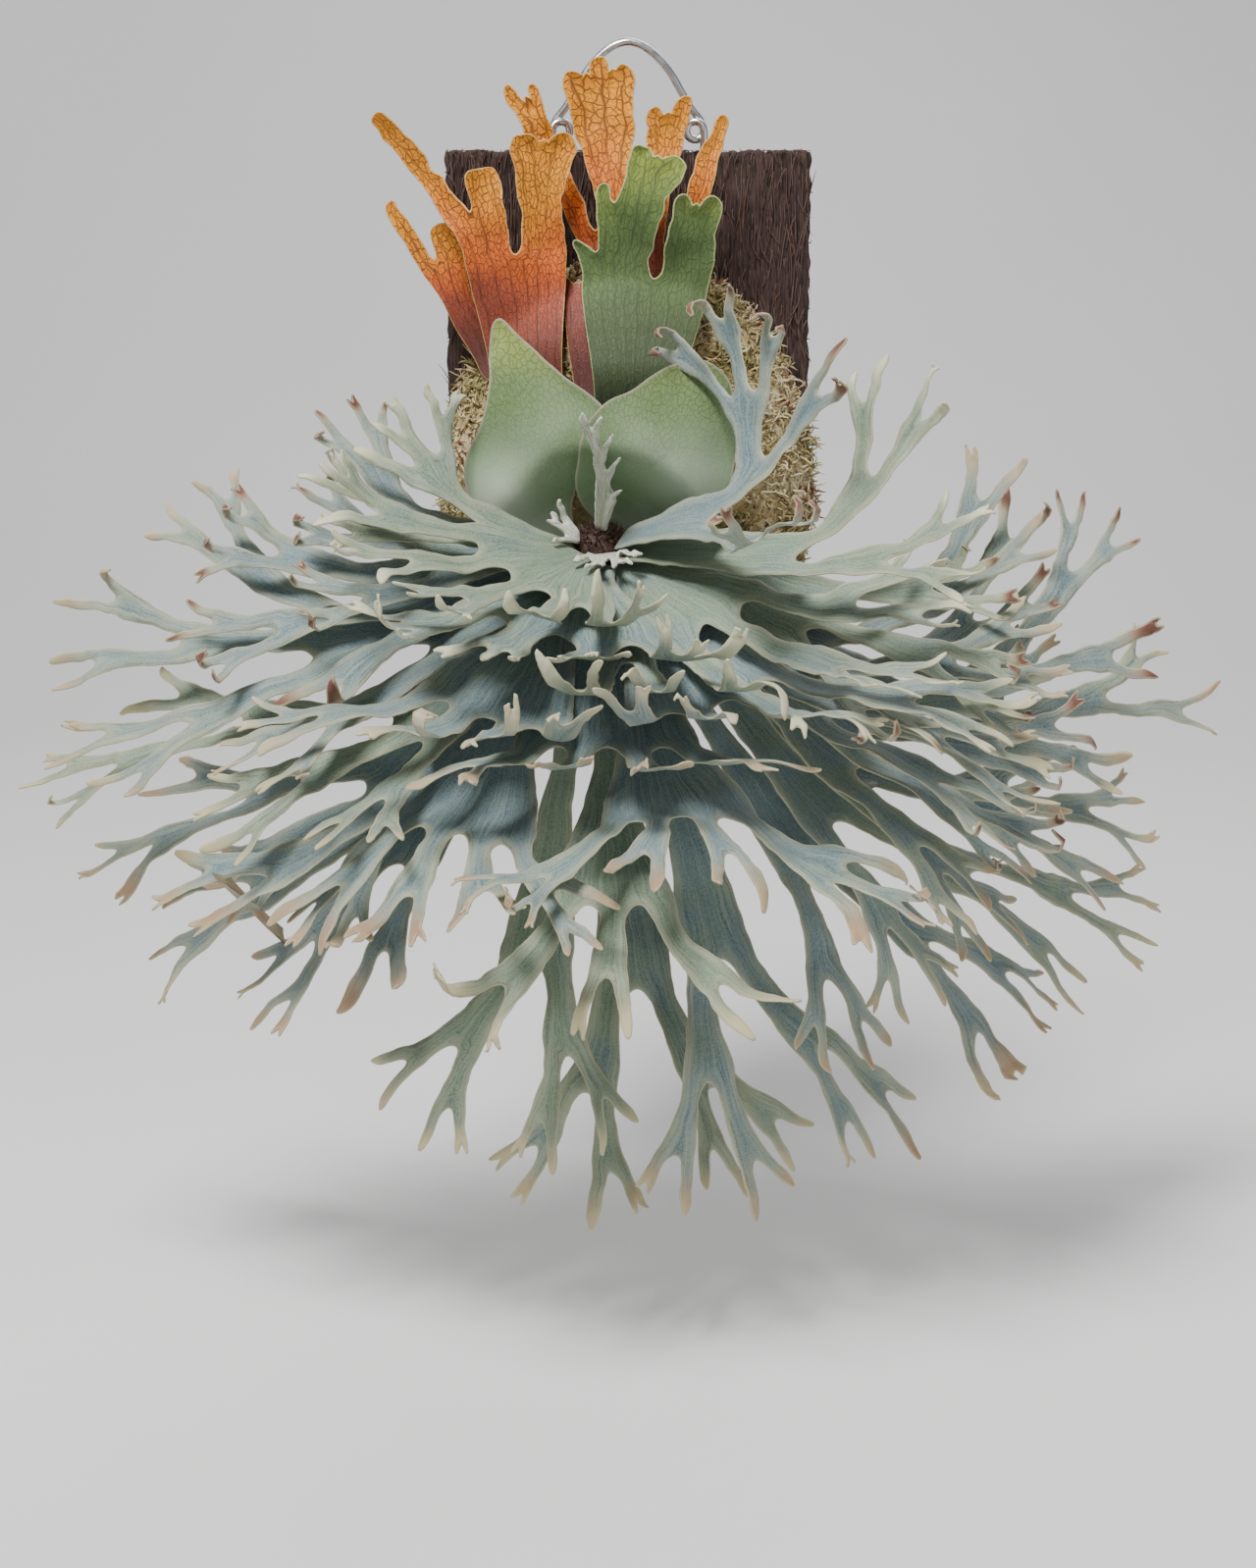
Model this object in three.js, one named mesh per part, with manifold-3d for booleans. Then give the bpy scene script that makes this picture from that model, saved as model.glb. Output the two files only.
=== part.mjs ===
// Staghorn fern mounted on a slab of tree-fern fibre, hung from a wire bail. Millimetres, +Z up,
// the plant faces -Y, and the origin is the centre of the slab's back face.
//
// The plant grows from one rhizome that sticks out of a mound of moss:
//   - shield fronds are broad sheets that lie one over the other on the moss and stand up in lobes;
//   - antler fronds are forked straps. Each lies on its own sheet of a set of nested bowls that open
//     towards the viewer round the rhizome, so that no frond crosses another.
import * as THREE from "three";
import { mergeVertices } from "three/addons/utils/BufferGeometryUtils.js";
import Module from "manifold-3d";

const wasm = await Module();
wasm.setup();

// ---------------------------------------------------------------- driving dimensions
const SLAB = { width: 216, height: 330, depth: 28 };
const MOSS = { x: 0, z: -32, halfWidth: 110, halfHeight: 134, rise: 62, lump: 3.2, evenRound: 30 };
const RHIZOME = { x: -16, y: -108, z: -62, radius: 16, stemRadius: 8 };
const WIRE = { radius: 2.3, standOff: 5.6, legX: 44, legZ: 122, holeRadius: 2.8, holeDepth: 22, top: 225 };
const EYE = { x: 39, z: 175, radius: 5, gap: 0.7 }; // the turn that the wire takes above the slab's top edge
const CLEARANCE = 0.3;

const FROND_THICKNESS = 1.4;
const PETIOLE_WIDTH = 9;
const ROW_STEP = 34; // mm between the cross rows of a strap
const WIDE = 38; // a cross row gets a point for about each of these mm
const FLARE = 110; // mm before a fork in which a strap widens into its palm
const ANTLER_SINUS = 0.8; // width of the gap between two lobes as a share of the narrower one
const SHIELD_SINUS = 0.22;
const FORKED_TIP = 40; // an antler tip of this length or more ends in a small fork

const BOWL_TILT = 45; // degrees that the bowls' common axis leans back from the horizontal
const DROOP = 0.07; // degrees that a sheet opens for each mm out
const CURL = { start: 60, length: 130 }; // the stretch of a sheet over which it turns towards the axis
const FRONT_CURL = { amount: 38, spread: 50 }; // degrees, and the bearing at which it has faded
const INNER_CURL = { amount: 42, from: 56, over: 64 }; // more of it for the sheets nearer to the axis
const TOP_CURL = { amount: 36, from: 60, over: 70 }; // the same for what rises beside the shields
const SAG = 50; // mm that a frond hangs at 300 mm out

const SHIELD_THICKNESS = 1.2;
const SKIRT = { from: 0.8, level: 0.35 }; // where the shields leave the mound's curve, as shares of its size
const FOOT_RISE = 50; // mm up from its foot over which a lobed shield comes out to its layer
const ROUND_RISE = { from: 12, over: 55 }; // the same for a round shield, from the rhizome out
const LEAN_FROM = 60; // height from which the shields' lobes lean out
const PILLOW = { x: -10, z: 0, rise: 16, halfWidth: 60, halfHeight: 45 }; // swelling under the round shields
const ROUND_LAYER = 20; // shields from this layer up lie on the pillow

const rad = THREE.MathUtils.degToRad;
const lerp = THREE.MathUtils.lerp;
const vec = (x, y, z) => new THREE.Vector3(x, y, z);
const flatVec = (x, y) => new THREE.Vector2(x, y);
const clamp = (x) => Math.min(1, Math.max(0, x));
const smooth = (x) => clamp(x) ** 2 * (3 - 2 * clamp(x));
const rhizome = vec(RHIZOME.x, RHIZOME.y, RHIZOME.z);

// ---------------------------------------------------------------- solids
function toSolid(geometry) {
  const bare = new THREE.BufferGeometry();
  const flat = geometry.index ? geometry.toNonIndexed() : geometry;
  bare.setAttribute("position", flat.getAttribute("position"));
  const merged = mergeVertices(bare, 1e-3);
  return new wasm.Manifold(
    new wasm.Mesh({
      numProp: 3,
      vertProperties: merged.attributes.position.array,
      triVerts: new Uint32Array(merged.index.array),
    }),
  );
}

function toGeometry(solid) {
  const { vertProperties, numProp, triVerts } = solid.getMesh();
  const positions = [];
  for (const i of triVerts) positions.push(...vertProperties.subarray(i * numProp, i * numProp + 3));
  const geometry = new THREE.BufferGeometry();
  geometry.setAttribute("position", new THREE.Float32BufferAttribute(positions, 3));
  return geometry;
}

function triangleGeometry(points, triangles) {
  const geometry = new THREE.BufferGeometry();
  geometry.setAttribute("position", new THREE.Float32BufferAttribute(points.flatMap((p) => p.toArray()), 3));
  geometry.setIndex(triangles.flat());
  return geometry;
}

// A thin solid round a sheet of triangles: the same triangles on both faces, and a wall along the rim.
function thicken(points, triangles, thickness) {
  const normals = points.map(() => vec(0, 0, 0));
  for (const [a, b, c] of triangles) {
    const face = points[b].clone().sub(points[a]).cross(points[c].clone().sub(points[a]));
    for (const i of [a, b, c]) normals[i].add(face);
  }
  const half = points.map((p, i) => normals[i].normalize().multiplyScalar(thickness / 2));
  const n = points.length;
  const front = points.map((p, i) => p.clone().add(half[i]));
  const back = points.map((p, i) => p.clone().sub(half[i]));
  const faces = [];
  const edges = new Set(triangles.flatMap(([a, b, c]) => [`${a},${b}`, `${b},${c}`, `${c},${a}`]));
  for (const [a, b, c] of triangles) faces.push([a, b, c], [a + n, c + n, b + n]);
  for (const edge of edges) {
    const [a, b] = edge.split(",").map(Number);
    if (!edges.has(`${b},${a}`)) faces.push([a, a + n, b + n], [a, b + n, b]);
  }
  return triangleGeometry([...front, ...back], faces);
}

// ---------------------------------------------------------------- forked blades
// One strap of a blade: its length, how far it turns from the strap that it leaves (degrees, towards its
// left edge if positive), its width, and the straps that it forks into, from its left edge to its right.
const strap = (length, turn, width, ...forks) => ({ length, turn, width, forks });

// A branch of an antler frond: a strap whose long tips end in a small uneven fork.
function b(length, turn, width, ...forks) {
  if (forks.length || length < FORKED_TIP) return strap(length, turn, width, ...forks);
  const [left, right] = turn >= 0 ? [0.3, 0.42] : [0.42, 0.3];
  return strap(0.6 * length, turn, width,
    strap(left * length, 20, 0.62 * width),
    strap(right * length, -24, 0.62 * width));
}

// A blade in the flat: x runs out from its foot and y to its left. Triangles face the front.
class Sheet {
  constructor(sinusShare) {
    this.sinusShare = sinusShare;
    this.points = [];
    this.triangles = [];
  }

  add(x, y) {
    return this.points.push(flatVec(x, y)) - 1;
  }

  sinusBetween(a, c) {
    return this.sinusShare * Math.min(a.width, c.width) + 2;
  }

  // The width of a strap where it ends: a blunt tip, or room for its forks and the gaps between them.
  endWidth({ forks, width }) {
    if (!forks.length) return 0.6 * width;
    const gaps = forks.map((fork, i) => (i ? this.sinusBetween(forks[i - 1], fork) : 0));
    return forks.reduce((sum, fork, i) => sum + fork.width + gaps[i], 0);
  }

  // Joins two cross rows, of any lengths, with triangles.
  zip(low, high) {
    let i = 0;
    let j = 0;
    while (i < low.length - 1 || j < high.length - 1) {
      const lowDone = i === low.length - 1;
      const lowShare = (i + 0.5) / (low.length - 1);
      const highShare = (j + 0.5) / (high.length - 1);
      const takeHigh = j < high.length - 1 && (lowDone || highShare <= lowShare);
      this.triangles.push([low[i], high[j], takeHigh ? high[++j] : low[++i]]);
    }
  }

  // Where the points of a cross row lie: mm from its left end, and mm that each is set back.
  // The last row of a forked strap has three points round each gap, the middle one set back.
  cuts(blade, width, isLast) {
    if (!isLast || !blade.forks.length) {
      const parts = Math.max(1, Math.round(width / WIDE));
      return Array.from({ length: parts + 1 }, (_, i) => [(width * i) / parts, 0]);
    }
    const cuts = [[0, 0]];
    let used = 0;
    for (let i = 1; i < blade.forks.length; i++) {
      const gap = this.sinusBetween(blade.forks[i - 1], blade.forks[i]);
      used += blade.forks[i - 1].width;
      cuts.push([used, 0], [used + gap / 2, gap / 2], [used + gap, 0]);
      used += gap;
    }
    cuts.push([width, 0]);
    return cuts;
  }

  // Lays out a strap, from the row of points that it leaves, and all that it forks into.
  grow(blade, startX, startY, startRow, heading) {
    const rows = Math.max(blade.forks.length ? 2 : 1, Math.round(blade.length / ROW_STEP));
    const steps = 4 * rows;
    const endsAt = this.endWidth(blade);
    const flare = Math.min(FLARE, 0.8 * blade.length);
    let [x, y, row] = [startX, startY, startRow];
    let [cos, sin, bearing] = [1, 0, heading];
    for (let i = 1; i <= steps; i++) {
      bearing = heading + blade.turn * (0.55 + (0.45 * (i - 0.5)) / steps);
      [cos, sin] = [Math.cos(rad(bearing)), Math.sin(rad(bearing))];
      x += (blade.length / steps) * cos;
      y += (blade.length / steps) * sin;
      if (i % 4) continue;
      const left = blade.length * (1 - i / steps);
      const widened = blade.forks.length ? smooth(1 - left / flare) : clamp((2 * i) / steps - 1) ** 2;
      const width = lerp(blade.width, endsAt, widened);
      const next = this.cuts(blade, width, i === steps).map(([along, back]) =>
        this.add(x - sin * (width / 2 - along) - cos * back, y + cos * (width / 2 - along) - sin * back),
      );
      this.zip(row, next);
      row = next;
    }
    let used = 0;
    blade.forks.forEach((fork, k) => {
      const out = endsAt / 2 - used - fork.width / 2;
      this.grow(fork, x - sin * out, y + cos * out, [row[3 * k], row[3 * k + 1]], bearing);
      used += fork.width;
      if (k + 1 < blade.forks.length) used += this.sinusBetween(fork, blade.forks[k + 1]);
    });
  }
}

// ---------------------------------------------------------------- antler fronds
const ahead = vec(0, -Math.cos(rad(BOWL_TILT)), Math.sin(rad(BOWL_TILT))); // the bowls' axis
const below = vec(0, -Math.sin(rad(BOWL_TILT)), -Math.cos(rad(BOWL_TILT)));
const right = vec(1, 0, 0);

// How far from the axis, and along it, a sheet has come after r mm.
function bowlProfile(open, r, curl) {
  const steps = Math.max(1, Math.ceil(r / 5));
  let [out, along] = [0, 0];
  for (let i = 0; i < steps; i++) {
    const at = ((i + 0.5) * r) / steps;
    const angle = rad(open + DROOP * at - curl * clamp((at - CURL.start) / CURL.length) ** 2);
    out += (r / steps) * Math.sin(angle);
    along += (r / steps) * Math.cos(angle);
  }
  return { out, along };
}

// The place on its bowl of a point of the flat frond.
function placeOnBowl(frond, point) {
  const r = point.length();
  const flat = bowlProfile(frond.open, r, 0);
  const bearing = frond.round - (THREE.MathUtils.radToDeg(Math.atan2(point.y, point.x)) * r) / flat.out;
  const inner = INNER_CURL.amount * (1 - smooth((frond.open - INNER_CURL.from) / INNER_CURL.over));
  const front = (FRONT_CURL.amount + inner) * Math.exp(-((bearing / FRONT_CURL.spread) ** 2));
  const top = TOP_CURL.amount * smooth((Math.abs(bearing) - TOP_CURL.from) / TOP_CURL.over);
  const { out, along } = bowlProfile(frond.open, r, front + top);
  const place = rhizome.clone().addScaledVector(ahead, along);
  place.addScaledVector(below, out * Math.cos(rad(bearing)));
  place.addScaledVector(right, out * Math.sin(rad(bearing)));
  place.z -= SAG * (place.distanceTo(rhizome) / 300) ** 2;
  return place;
}

function antlerFrond(frond) {
  const sheet = new Sheet(ANTLER_SINUS);
  const foot = RHIZOME.radius + CLEARANCE;
  const footRow = [sheet.add(foot, PETIOLE_WIDTH / 2), sheet.add(foot, -PETIOLE_WIDTH / 2)];
  sheet.grow(frond.blade, foot, 0, footRow, 0);
  return thicken(sheet.points.map((point) => placeOnBowl(frond, point)), sheet.triangles, FROND_THICKNESS);
}

// name, bearing round the rhizome from straight down, angle of its sheet from the bowls' axis, blade
const frond = (name, round, open, blade) => ({ name, round, open, blade });

const FRONDS = [
  frond("antler_frond_right_1", 64, 39, b(85, -4, 20, b(80, 34, 11, b(50, 25, 8), b(60, -30, 8)), b(40,
    -70, 16, b(90, 40, 11), b(35, -26, 18, b(60, 38, 9), b(85, 0, 10), b(70, -40, 9))))),
  frond("antler_frond_right_2", 47, 53, b(130, -22, 18, b(60, -14, 12, b(55, 14, 8), b(60, -44, 8)),
    b(60, -78, 13, b(75, 22, 9), b(75, -14, 9)))),
  frond("antler_frond_right_3", 34, 64, b(90, 5, 30, b(60, 52, 12, b(38, 20, 8), b(38, -30, 7)), b(65,
    25, 12, b(35, 15, 7), b(30, -35, 8)), b(85, 0, 14, b(38, 22, 8), b(38, -28, 8)), b(90, -26, 14,
    b(55, 8, 8), b(60, -35, 8)), b(55, -60, 14, b(60, 4, 9), b(55, -44, 9)))),
  frond("antler_frond_right_4", 38, 76, b(140, -25, 13, b(80, -10, 12, b(60, 15, 8), b(50, -25, 8)),
    b(75, -48, 12, b(60, 18, 7), b(65, -15, 8)), b(85, -84, 13, b(60, 30, 8), b(85, -5, 10)))),
  frond("antler_frond_right_5", 42, 82, b(150, -20, 13, b(68, -4, 12, b(48, 30, 8), b(58, -20, 8)),
    b(68, -50, 12, b(40, 35, 8), b(63, -10, 8)), b(82, -82, 13, b(48, 24, 8), b(92, -6, 9)))),
  frond("antler_frond_right_6", 48, 88, b(167, -16, 13, b(60, -2, 12, b(42, 25, 8), b(60, -20, 8)),
    b(65, -38, 12, b(46, 20, 8), b(74, -15, 8)), b(88, -70, 14, b(84, 22, 9), b(65, -16, 10, b(56, 10,
    6), b(51, -20, 6))))),
  frond("antler_frond_right_7", 46, 94, b(170, -14, 13, b(48, 10, 12, b(44, 20, 8), b(40, -25, 8)),
    b(61, -25, 12, b(44, 14, 8), b(52, -26, 8)), b(83, -66, 15, b(57, 40, 9), b(65, 10, 10, b(78, 10,
    6), b(52, -30, 6)), b(48, -30, 8)))),
  frond("antler_frond_right_8", 48, 100, b(181, -10, 13, b(52, 0, 12, b(40, 20, 8), b(52, -25, 8)),
    b(77, -50, 15, b(64, 34, 8), b(56, 0, 9, b(40, 26, 6), b(40, -16, 6)), b(56, -34, 8)))),
  frond("antler_frond_right_9", 42, 106, b(178, -8, 13, b(54, 10, 12, b(40, 40, 8), b(40, -20, 8)),
    b(79, -42, 15, b(50, 32, 9, b(29, 30, 6), b(25, -14, 6)), b(75, -4, 9, b(54, 14, 6), b(58, -16,
    6))))),
  frond("antler_frond_right_10", 34, 112, b(189, -8, 13, b(47, 24, 12, b(40, 30, 8), b(40, -20, 8)),
    b(69, -34, 14, b(43, 40, 9, b(30, 30, 6), b(26, -14, 6)), b(52, -4, 9, b(30, 30, 6), b(43, -14,
    6))))),
  frond("antler_frond_right_11", 71, 73, b(125, 10, 13, b(60, 30, 12, b(50, 14, 8), b(45, -28, 8)),
    b(70, -8, 12, b(55, 18, 8), b(50, -20, 8)), b(55, -44, 12, b(40, 24, 8), b(40, -22, 8)))),
  frond("antler_frond_left_1", -28, 50, b(76, 8, 32, b(52, 62, 14, b(43, 8, 10), b(36, -32, 8)), b(57,
    34, 13, b(48, 8, 8), b(36, -30, 8)), b(57, 8, 13, b(43, 20, 8), b(43, -18, 8)), b(52, -22, 13,
    b(36, 26, 8), b(33, -30, 8)), b(57, -50, 13, b(36, 24, 8), b(46, -26, 8)))),
  frond("antler_frond_left_2", -70, 57, b(66, 18, 12, b(45, 52, 12, b(41, 30, 8), b(41, -10, 9), b(31,
    -46, 7)), b(49, 8, 12, b(61, 20, 8), b(41, -22, 8)))),
  frond("antler_frond_left_3", -66, 66, b(90, 18, 13, b(53, 70, 13, b(40, 10, 8), b(41, -32, 8)), b(45,
    30, 12, b(41, 16, 8), b(40, -26, 8)), b(41, -14, 12, b(40, 40, 8), b(40, 0, 8)))),
  frond("antler_frond_left_4", -44, 79, b(104, 20, 24, b(57, 26, 22, b(62, 50, 14, b(52, 22, 8), b(52,
    -14, 8)), b(76, 14, 14, b(76, 22, 8), b(71, -12, 8)), b(66, -20, 13, b(71, 22, 8), b(52, -22, 8))),
    b(71, -10, 13, b(57, 22, 8), b(48, -24, 8)))),
  frond("antler_frond_left_5", -36, 85, b(141, 12, 14, b(75, 60, 14, b(75, 10, 9), b(66, -24, 8, b(52,
    22, 6), b(40, -14, 6))), b(61, 22, 13, b(52, 22, 8), b(56, -16, 8)), b(47, -20, 12, b(42, 24, 8),
    b(40, -24, 8)))),
  frond("antler_frond_left_6", -27, 91, b(185, -2, 22, b(55, 64, 14, b(55, 10, 11), b(35, -36, 8)),
    b(45, 28, 12, b(35, 24, 8), b(30, -28, 7)), b(45, -4, 12, b(30, 30, 8), b(30, -20, 7)), b(40, -34,
    12, b(30, 30, 8), b(30, -20, 7)), b(45, -68, 12, b(40, 14, 8), b(30, -34, 7)))),
  frond("antler_frond_left_7", -40, 98, b(166, 8, 13, b(62, 60, 13, b(62, 6, 9), b(50, -32, 8, b(42,
    24, 6), b(25, -34, 6))), b(50, 22, 12, b(46, 20, 8), b(42, -20, 8)), b(37, -18, 12, b(40, 22, 8),
    b(40, -22, 8)))),
  frond("antler_frond_left_8", -34, 105, b(185, 6, 13, b(66, 56, 13, b(57, 12, 9), b(40, -26, 9, b(26,
    30, 6), b(22, -40, 6))), b(53, 16, 12, b(40, 22, 8), b(44, -20, 8)), b(40, -24, 12, b(31, 30, 8),
    b(26, -30, 8)))),
  frond("antler_frond_left_9", -60, 73.5, b(115, 12, 13, b(60, 44, 13, b(50, 14, 8), b(45, -26, 8)),
    b(65, 8, 13, b(55, 18, 8), b(50, -22, 8)), b(45, -34, 12, b(38, 26, 8), b(35, -20, 8)))),
  frond("antler_frond_front_1", -12, 58, b(95, 0, 30, b(45, 56, 18, b(25, 26, 8), b(28, 0, 7), b(22,
    -30, 7)), b(42, 22, 20, b(24, 26, 8), b(20, 0, 7), b(26, -28, 7)), b(42, -12, 20, b(22, 30, 8),
    b(26, 2, 7), b(24, -26, 8)), b(46, -48, 18, b(24, 26, 8), b(22, -4, 7), b(30, -32, 8)))),
  frond("antler_frond_front_2", 27, 70, b(135, 0, 26, b(45, 46, 15, b(30, 24, 8), b(28, -24, 8)), b(42,
    14, 15, b(28, 28, 8), b(28, -24, 8)), b(50, -22, 15, b(30, 28, 8), b(45, -18, 8)), b(75, -62, 14,
    b(50, 24, 8), b(60, -14, 9)))),
  frond("antler_frond_front_3", -24, 72, b(140, 0, 24, b(60, 66, 14, b(40, 14, 8), b(35, -32, 8)),
    b(42, 26, 14, b(30, 22, 8), b(26, -30, 8)), b(38, -8, 14, b(26, 28, 8), b(28, -24, 8)), b(40, -42,
    13, b(28, 28, 8), b(26, -24, 8)))),
  frond("antler_frond_front_4", 2, 78, b(130, 0, 22, b(50, 56, 15, b(35, 24, 8), b(25, -30, 8)), b(38,
    18, 15, b(24, 28, 8), b(26, -26, 8)), b(38, -18, 15, b(26, 26, 8), b(24, -28, 8)), b(50, -56, 14,
    b(28, 28, 8), b(38, -20, 8)))),
  frond("antler_frond_front_5", 14, 88, b(175, 0, 14, b(65, 68, 13, b(45, 16, 8), b(40, -30, 7)), b(42,
    30, 13, b(32, 26, 7), b(28, -30, 8)), b(40, -8, 13, b(26, 28, 7), b(30, -22, 7)), b(60, -54, 13,
    b(34, 40, 8), b(50, 0, 9), b(35, -36, 7)))),
  frond("antler_frond_front_6", 2, 98, b(205, 0, 14, b(50, 52, 14, b(38, 18, 8), b(30, -34, 7)), b(40,
    8, 14, b(26, 28, 7), b(30, -24, 7)), b(50, -46, 13, b(30, 34, 7), b(36, -16, 8)))),
  frond("antler_frond_low_1", -14, 116, b(206, -4, 14, b(46, 36, 13, b(42, 24, 8), b(42, -30, 9)),
    b(42, -20, 13, b(46, 30, 8), b(42, -16, 8)))),
  frond("antler_frond_low_2", 24, 119, b(209, 4, 14, b(53, 14, 14, b(53, 18, 9), b(58, -28, 9)), b(58,
    -38, 13, b(48, 30, 8), b(68, -4, 9)))),
  frond("antler_frond_low_3", 4, 126, b(214, -2, 14, b(48, 22, 14, b(48, 20, 9), b(52, -26, 9)), b(52,
    -30, 13, b(43, 30, 8), b(48, -16, 9)))),
  frond("young_frond_upright", 166, 11, b(34, 6, 9, b(9, 52, 3), b(17, -6, 8, b(9, 46, 3), b(15, -4, 7,
    b(8, 44, 3), b(13, -4, 6, b(7, 30, 3), b(11, -8, 4)))))),
  frond("young_frond_folded", -90, 42, b(16, 0, 8, b(9, 44, 4), b(10, 4, 5), b(9, -40, 4))),
  frond("young_frond_fan", 8, 43, b(22, 0, 8, b(10, 40, 4), b(13, 14, 4, b(7, 24, 3), b(6, -24, 3)), b(12,
    -12, 4, b(6, 24, 3), b(7, -24, 3)), b(10, -38, 4))),
];

// ---------------------------------------------------------------- shield fronds
// How far the mound stands out from the slab at (x, z). Near its rim and past it, it eases off to a level
// on which the shields stand up beyond it.
function mound(x, z) {
  const e = ((x - MOSS.x) / MOSS.halfWidth) ** 2 + ((z - MOSS.z) / MOSS.halfHeight) ** 2;
  if (e < SKIRT.from) return MOSS.rise * Math.sqrt(1 - e);
  const edge = Math.sqrt(1 - SKIRT.from);
  const fall = edge - SKIRT.level;
  return MOSS.rise * (SKIRT.level + fall * Math.exp(-(e - SKIRT.from) / (2 * edge * fall)));
}

// The point of a shield frond over (x, z), lift above the moss.
const overMoss = (x, z, lift) => vec(x, -(SLAB.depth + mound(x, z) + lift), z);

// A lobed shield frond: it leaves the moss at its foot, rises to its layer and leans out above the mound.
function lobedShield(shield) {
  const sheet = new Sheet(SHIELD_SINUS);
  const footRow = [1, 0.33, -0.33, -1].map((k) => sheet.add(0, (k * shield.foot) / 2));
  sheet.grow(shield.blade, 0, 0, footRow, shield.heading);
  const place = (point) => {
    const x = shield.x - point.y;
    const z = shield.z + point.x;
    const lean = shield.lean * Math.max(0, z - LEAN_FROM);
    return overMoss(x, z, shield.seat + shield.layer * smooth(point.x / FOOT_RISE) + lean);
  };
  return thicken(sheet.points.map(place), sheet.triangles, SHIELD_THICKNESS);
}

// A round shield frond: rings of points from its outline in to its centre, on a pillow of its own layer.
function roundShield(shield) {
  const rings = [1, 0.8, 0.55, 0.28];
  const [centreX, centreZ] = shield.centre;
  const n = shield.outline.length;
  const flat = rings.flatMap((share) =>
    shield.outline.map(([x, z]) => [centreX + (x - centreX) * share, centreZ + (z - centreZ) * share]),
  );
  flat.push([centreX, centreZ]);
  const triangles = [];
  for (let ring = 0; ring < rings.length; ring++)
    for (let i = 0; i < n; i++) {
      const a = ring * n + i;
      const c = ring * n + ((i + 1) % n);
      if (ring === rings.length - 1) triangles.push([a, c, 4 * n]);
      else triangles.push([a, c, c + n], [a, c + n, a + n]);
    }
  const points = flat.map(([x, z]) => {
    const out = smooth((Math.hypot(x - RHIZOME.x, z - RHIZOME.z) - ROUND_RISE.from) / ROUND_RISE.over);
    const off = ((x - PILLOW.x) / PILLOW.halfWidth) ** 2 + ((z - PILLOW.z) / PILLOW.halfHeight) ** 2;
    const swell = shield.layer > ROUND_LAYER ? PILLOW.rise * Math.exp(-off) : 0;
    return overMoss(x, z, shield.seat + (shield.layer + swell) * out);
  });
  return thicken(points, triangles, SHIELD_THICKNESS);
}

// seat: how far the middle of the sheet lies off the smooth mound where it rests on it, chosen so that its
// facets clear those of the moss by CLEARANCE. layer: how much further out the rest of it lies.
const LOBED_SHIELDS = [
  { name: "shield_frond_back", x: -7, z: 22, foot: 50, heading: 0, seat: 0.9, layer: 6, lean: 0.04,
    blade: strap(36, 0, 48, strap(29, 6, 15, strap(5, 14, 8), strap(4, -16, 7)), strap(38, -2, 36,
      strap(26, 14, 20, strap(74, 14, 12, strap(15, 8, 7), strap(9, -14, 6)), strap(81, -6, 22,
      strap(5, 12, 11), strap(9, 0, 11), strap(4, -10, 10))), strap(16, -6, 24, strap(70, -2, 17,
      strap(5, 14, 10), strap(13, -12, 10)), strap(77, -15, 12)))) },
  { name: "shield_frond_low_left", x: -76, z: 32, foot: 14, heading: 15, seat: 1.3, layer: 4, lean: 0.1,
    blade: strap(44, 4, 17, strap(36, 4, 17, strap(38, 14, 9), strap(16, -4, 15)), strap(30, -8, 9)) },
  { name: "shield_frond_left", x: -57, z: 12, foot: 40, heading: 1, seat: 1.05, layer: 12, lean: 0.14,
    blade: strap(97, 5, 42, strap(26, 12, 26, strap(68, 26, 12), strap(19, -4, 20)), strap(57, -9, 24,
      strap(5, 12, 15), strap(5, -10, 15))) },
  { name: "shield_frond_green", x: 3, z: -4, foot: 44, heading: -1, seat: 0.5, layer: 18, lean: 0.16,
    blade: strap(99, -4, 47, strap(12, 8, 38, strap(8, 44, 8), strap(25, -14, 32, strap(8, 20, 9),
      strap(27, -12, 26, strap(5, 12, 14), strap(5, -14, 15)))), strap(38, -8, 27, strap(5, 6, 11),
      strap(9, -16, 12))) },
];

const ROUND_SHIELDS = [
  { name: "shield_frond_old_left", seat: 1.55, layer: 0, centre: [-72, -36],
    outline: [[-50, -30], [-54, -14], [-70, -6], [-88, -12], [-99, -30], [-96, -50], [-84, -62], [-66, -64],
      [-54, -50]] },
  { name: "shield_frond_old_right", seat: 1.2, layer: 0, centre: [52, 6],
    outline: [[33, 4], [38, -12], [52, -18], [66, -10], [71, 8], [66, 22], [52, 28], [38, 20]] },
  { name: "shield_frond_round_left", seat: 0.6, layer: 24, centre: [-58, -4],
    outline: [[-28, -52], [-34, -37], [-27, -20], [-15, -4], [-9, 12], [-14, 24], [-28, 33], [-44, 44],
      [-60, 56], [-72, 71], [-79, 66], [-80, 44], [-79, 22], [-86, 4], [-95, -12], [-94, -32],
      [-84, -50], [-66, -63], [-46, -65]] },
  { name: "shield_frond_round_right", seat: 0.95, layer: 36, centre: [18, -8],
    outline: [[-4, -60], [-14, -46], [-24, -42], [-31, -26], [-28, -4], [-26, 10], [-17, 24], [0, 30],
      [12, 39], [28, 46], [42, 49], [54, 42], [61, 28], [63, 6], [60, -18], [53, -34], [40, -48],
      [20, -62]] },
];

// ---------------------------------------------------------------- slab, moss, wire and rhizome
function slab() {
  const box = new THREE.BoxGeometry(SLAB.width, SLAB.depth, SLAB.height).translate(0, -SLAB.depth / 2, 0);
  return [-1, 1].reduce((solid, side) => {
    const hole = new THREE.CylinderGeometry(WIRE.holeRadius, WIRE.holeRadius, 2 * WIRE.holeDepth, 16);
    hole.translate(side * WIRE.legX, -SLAB.depth, WIRE.legZ);
    return solid.subtract(toSolid(hole));
  }, toSolid(box));
}

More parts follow.
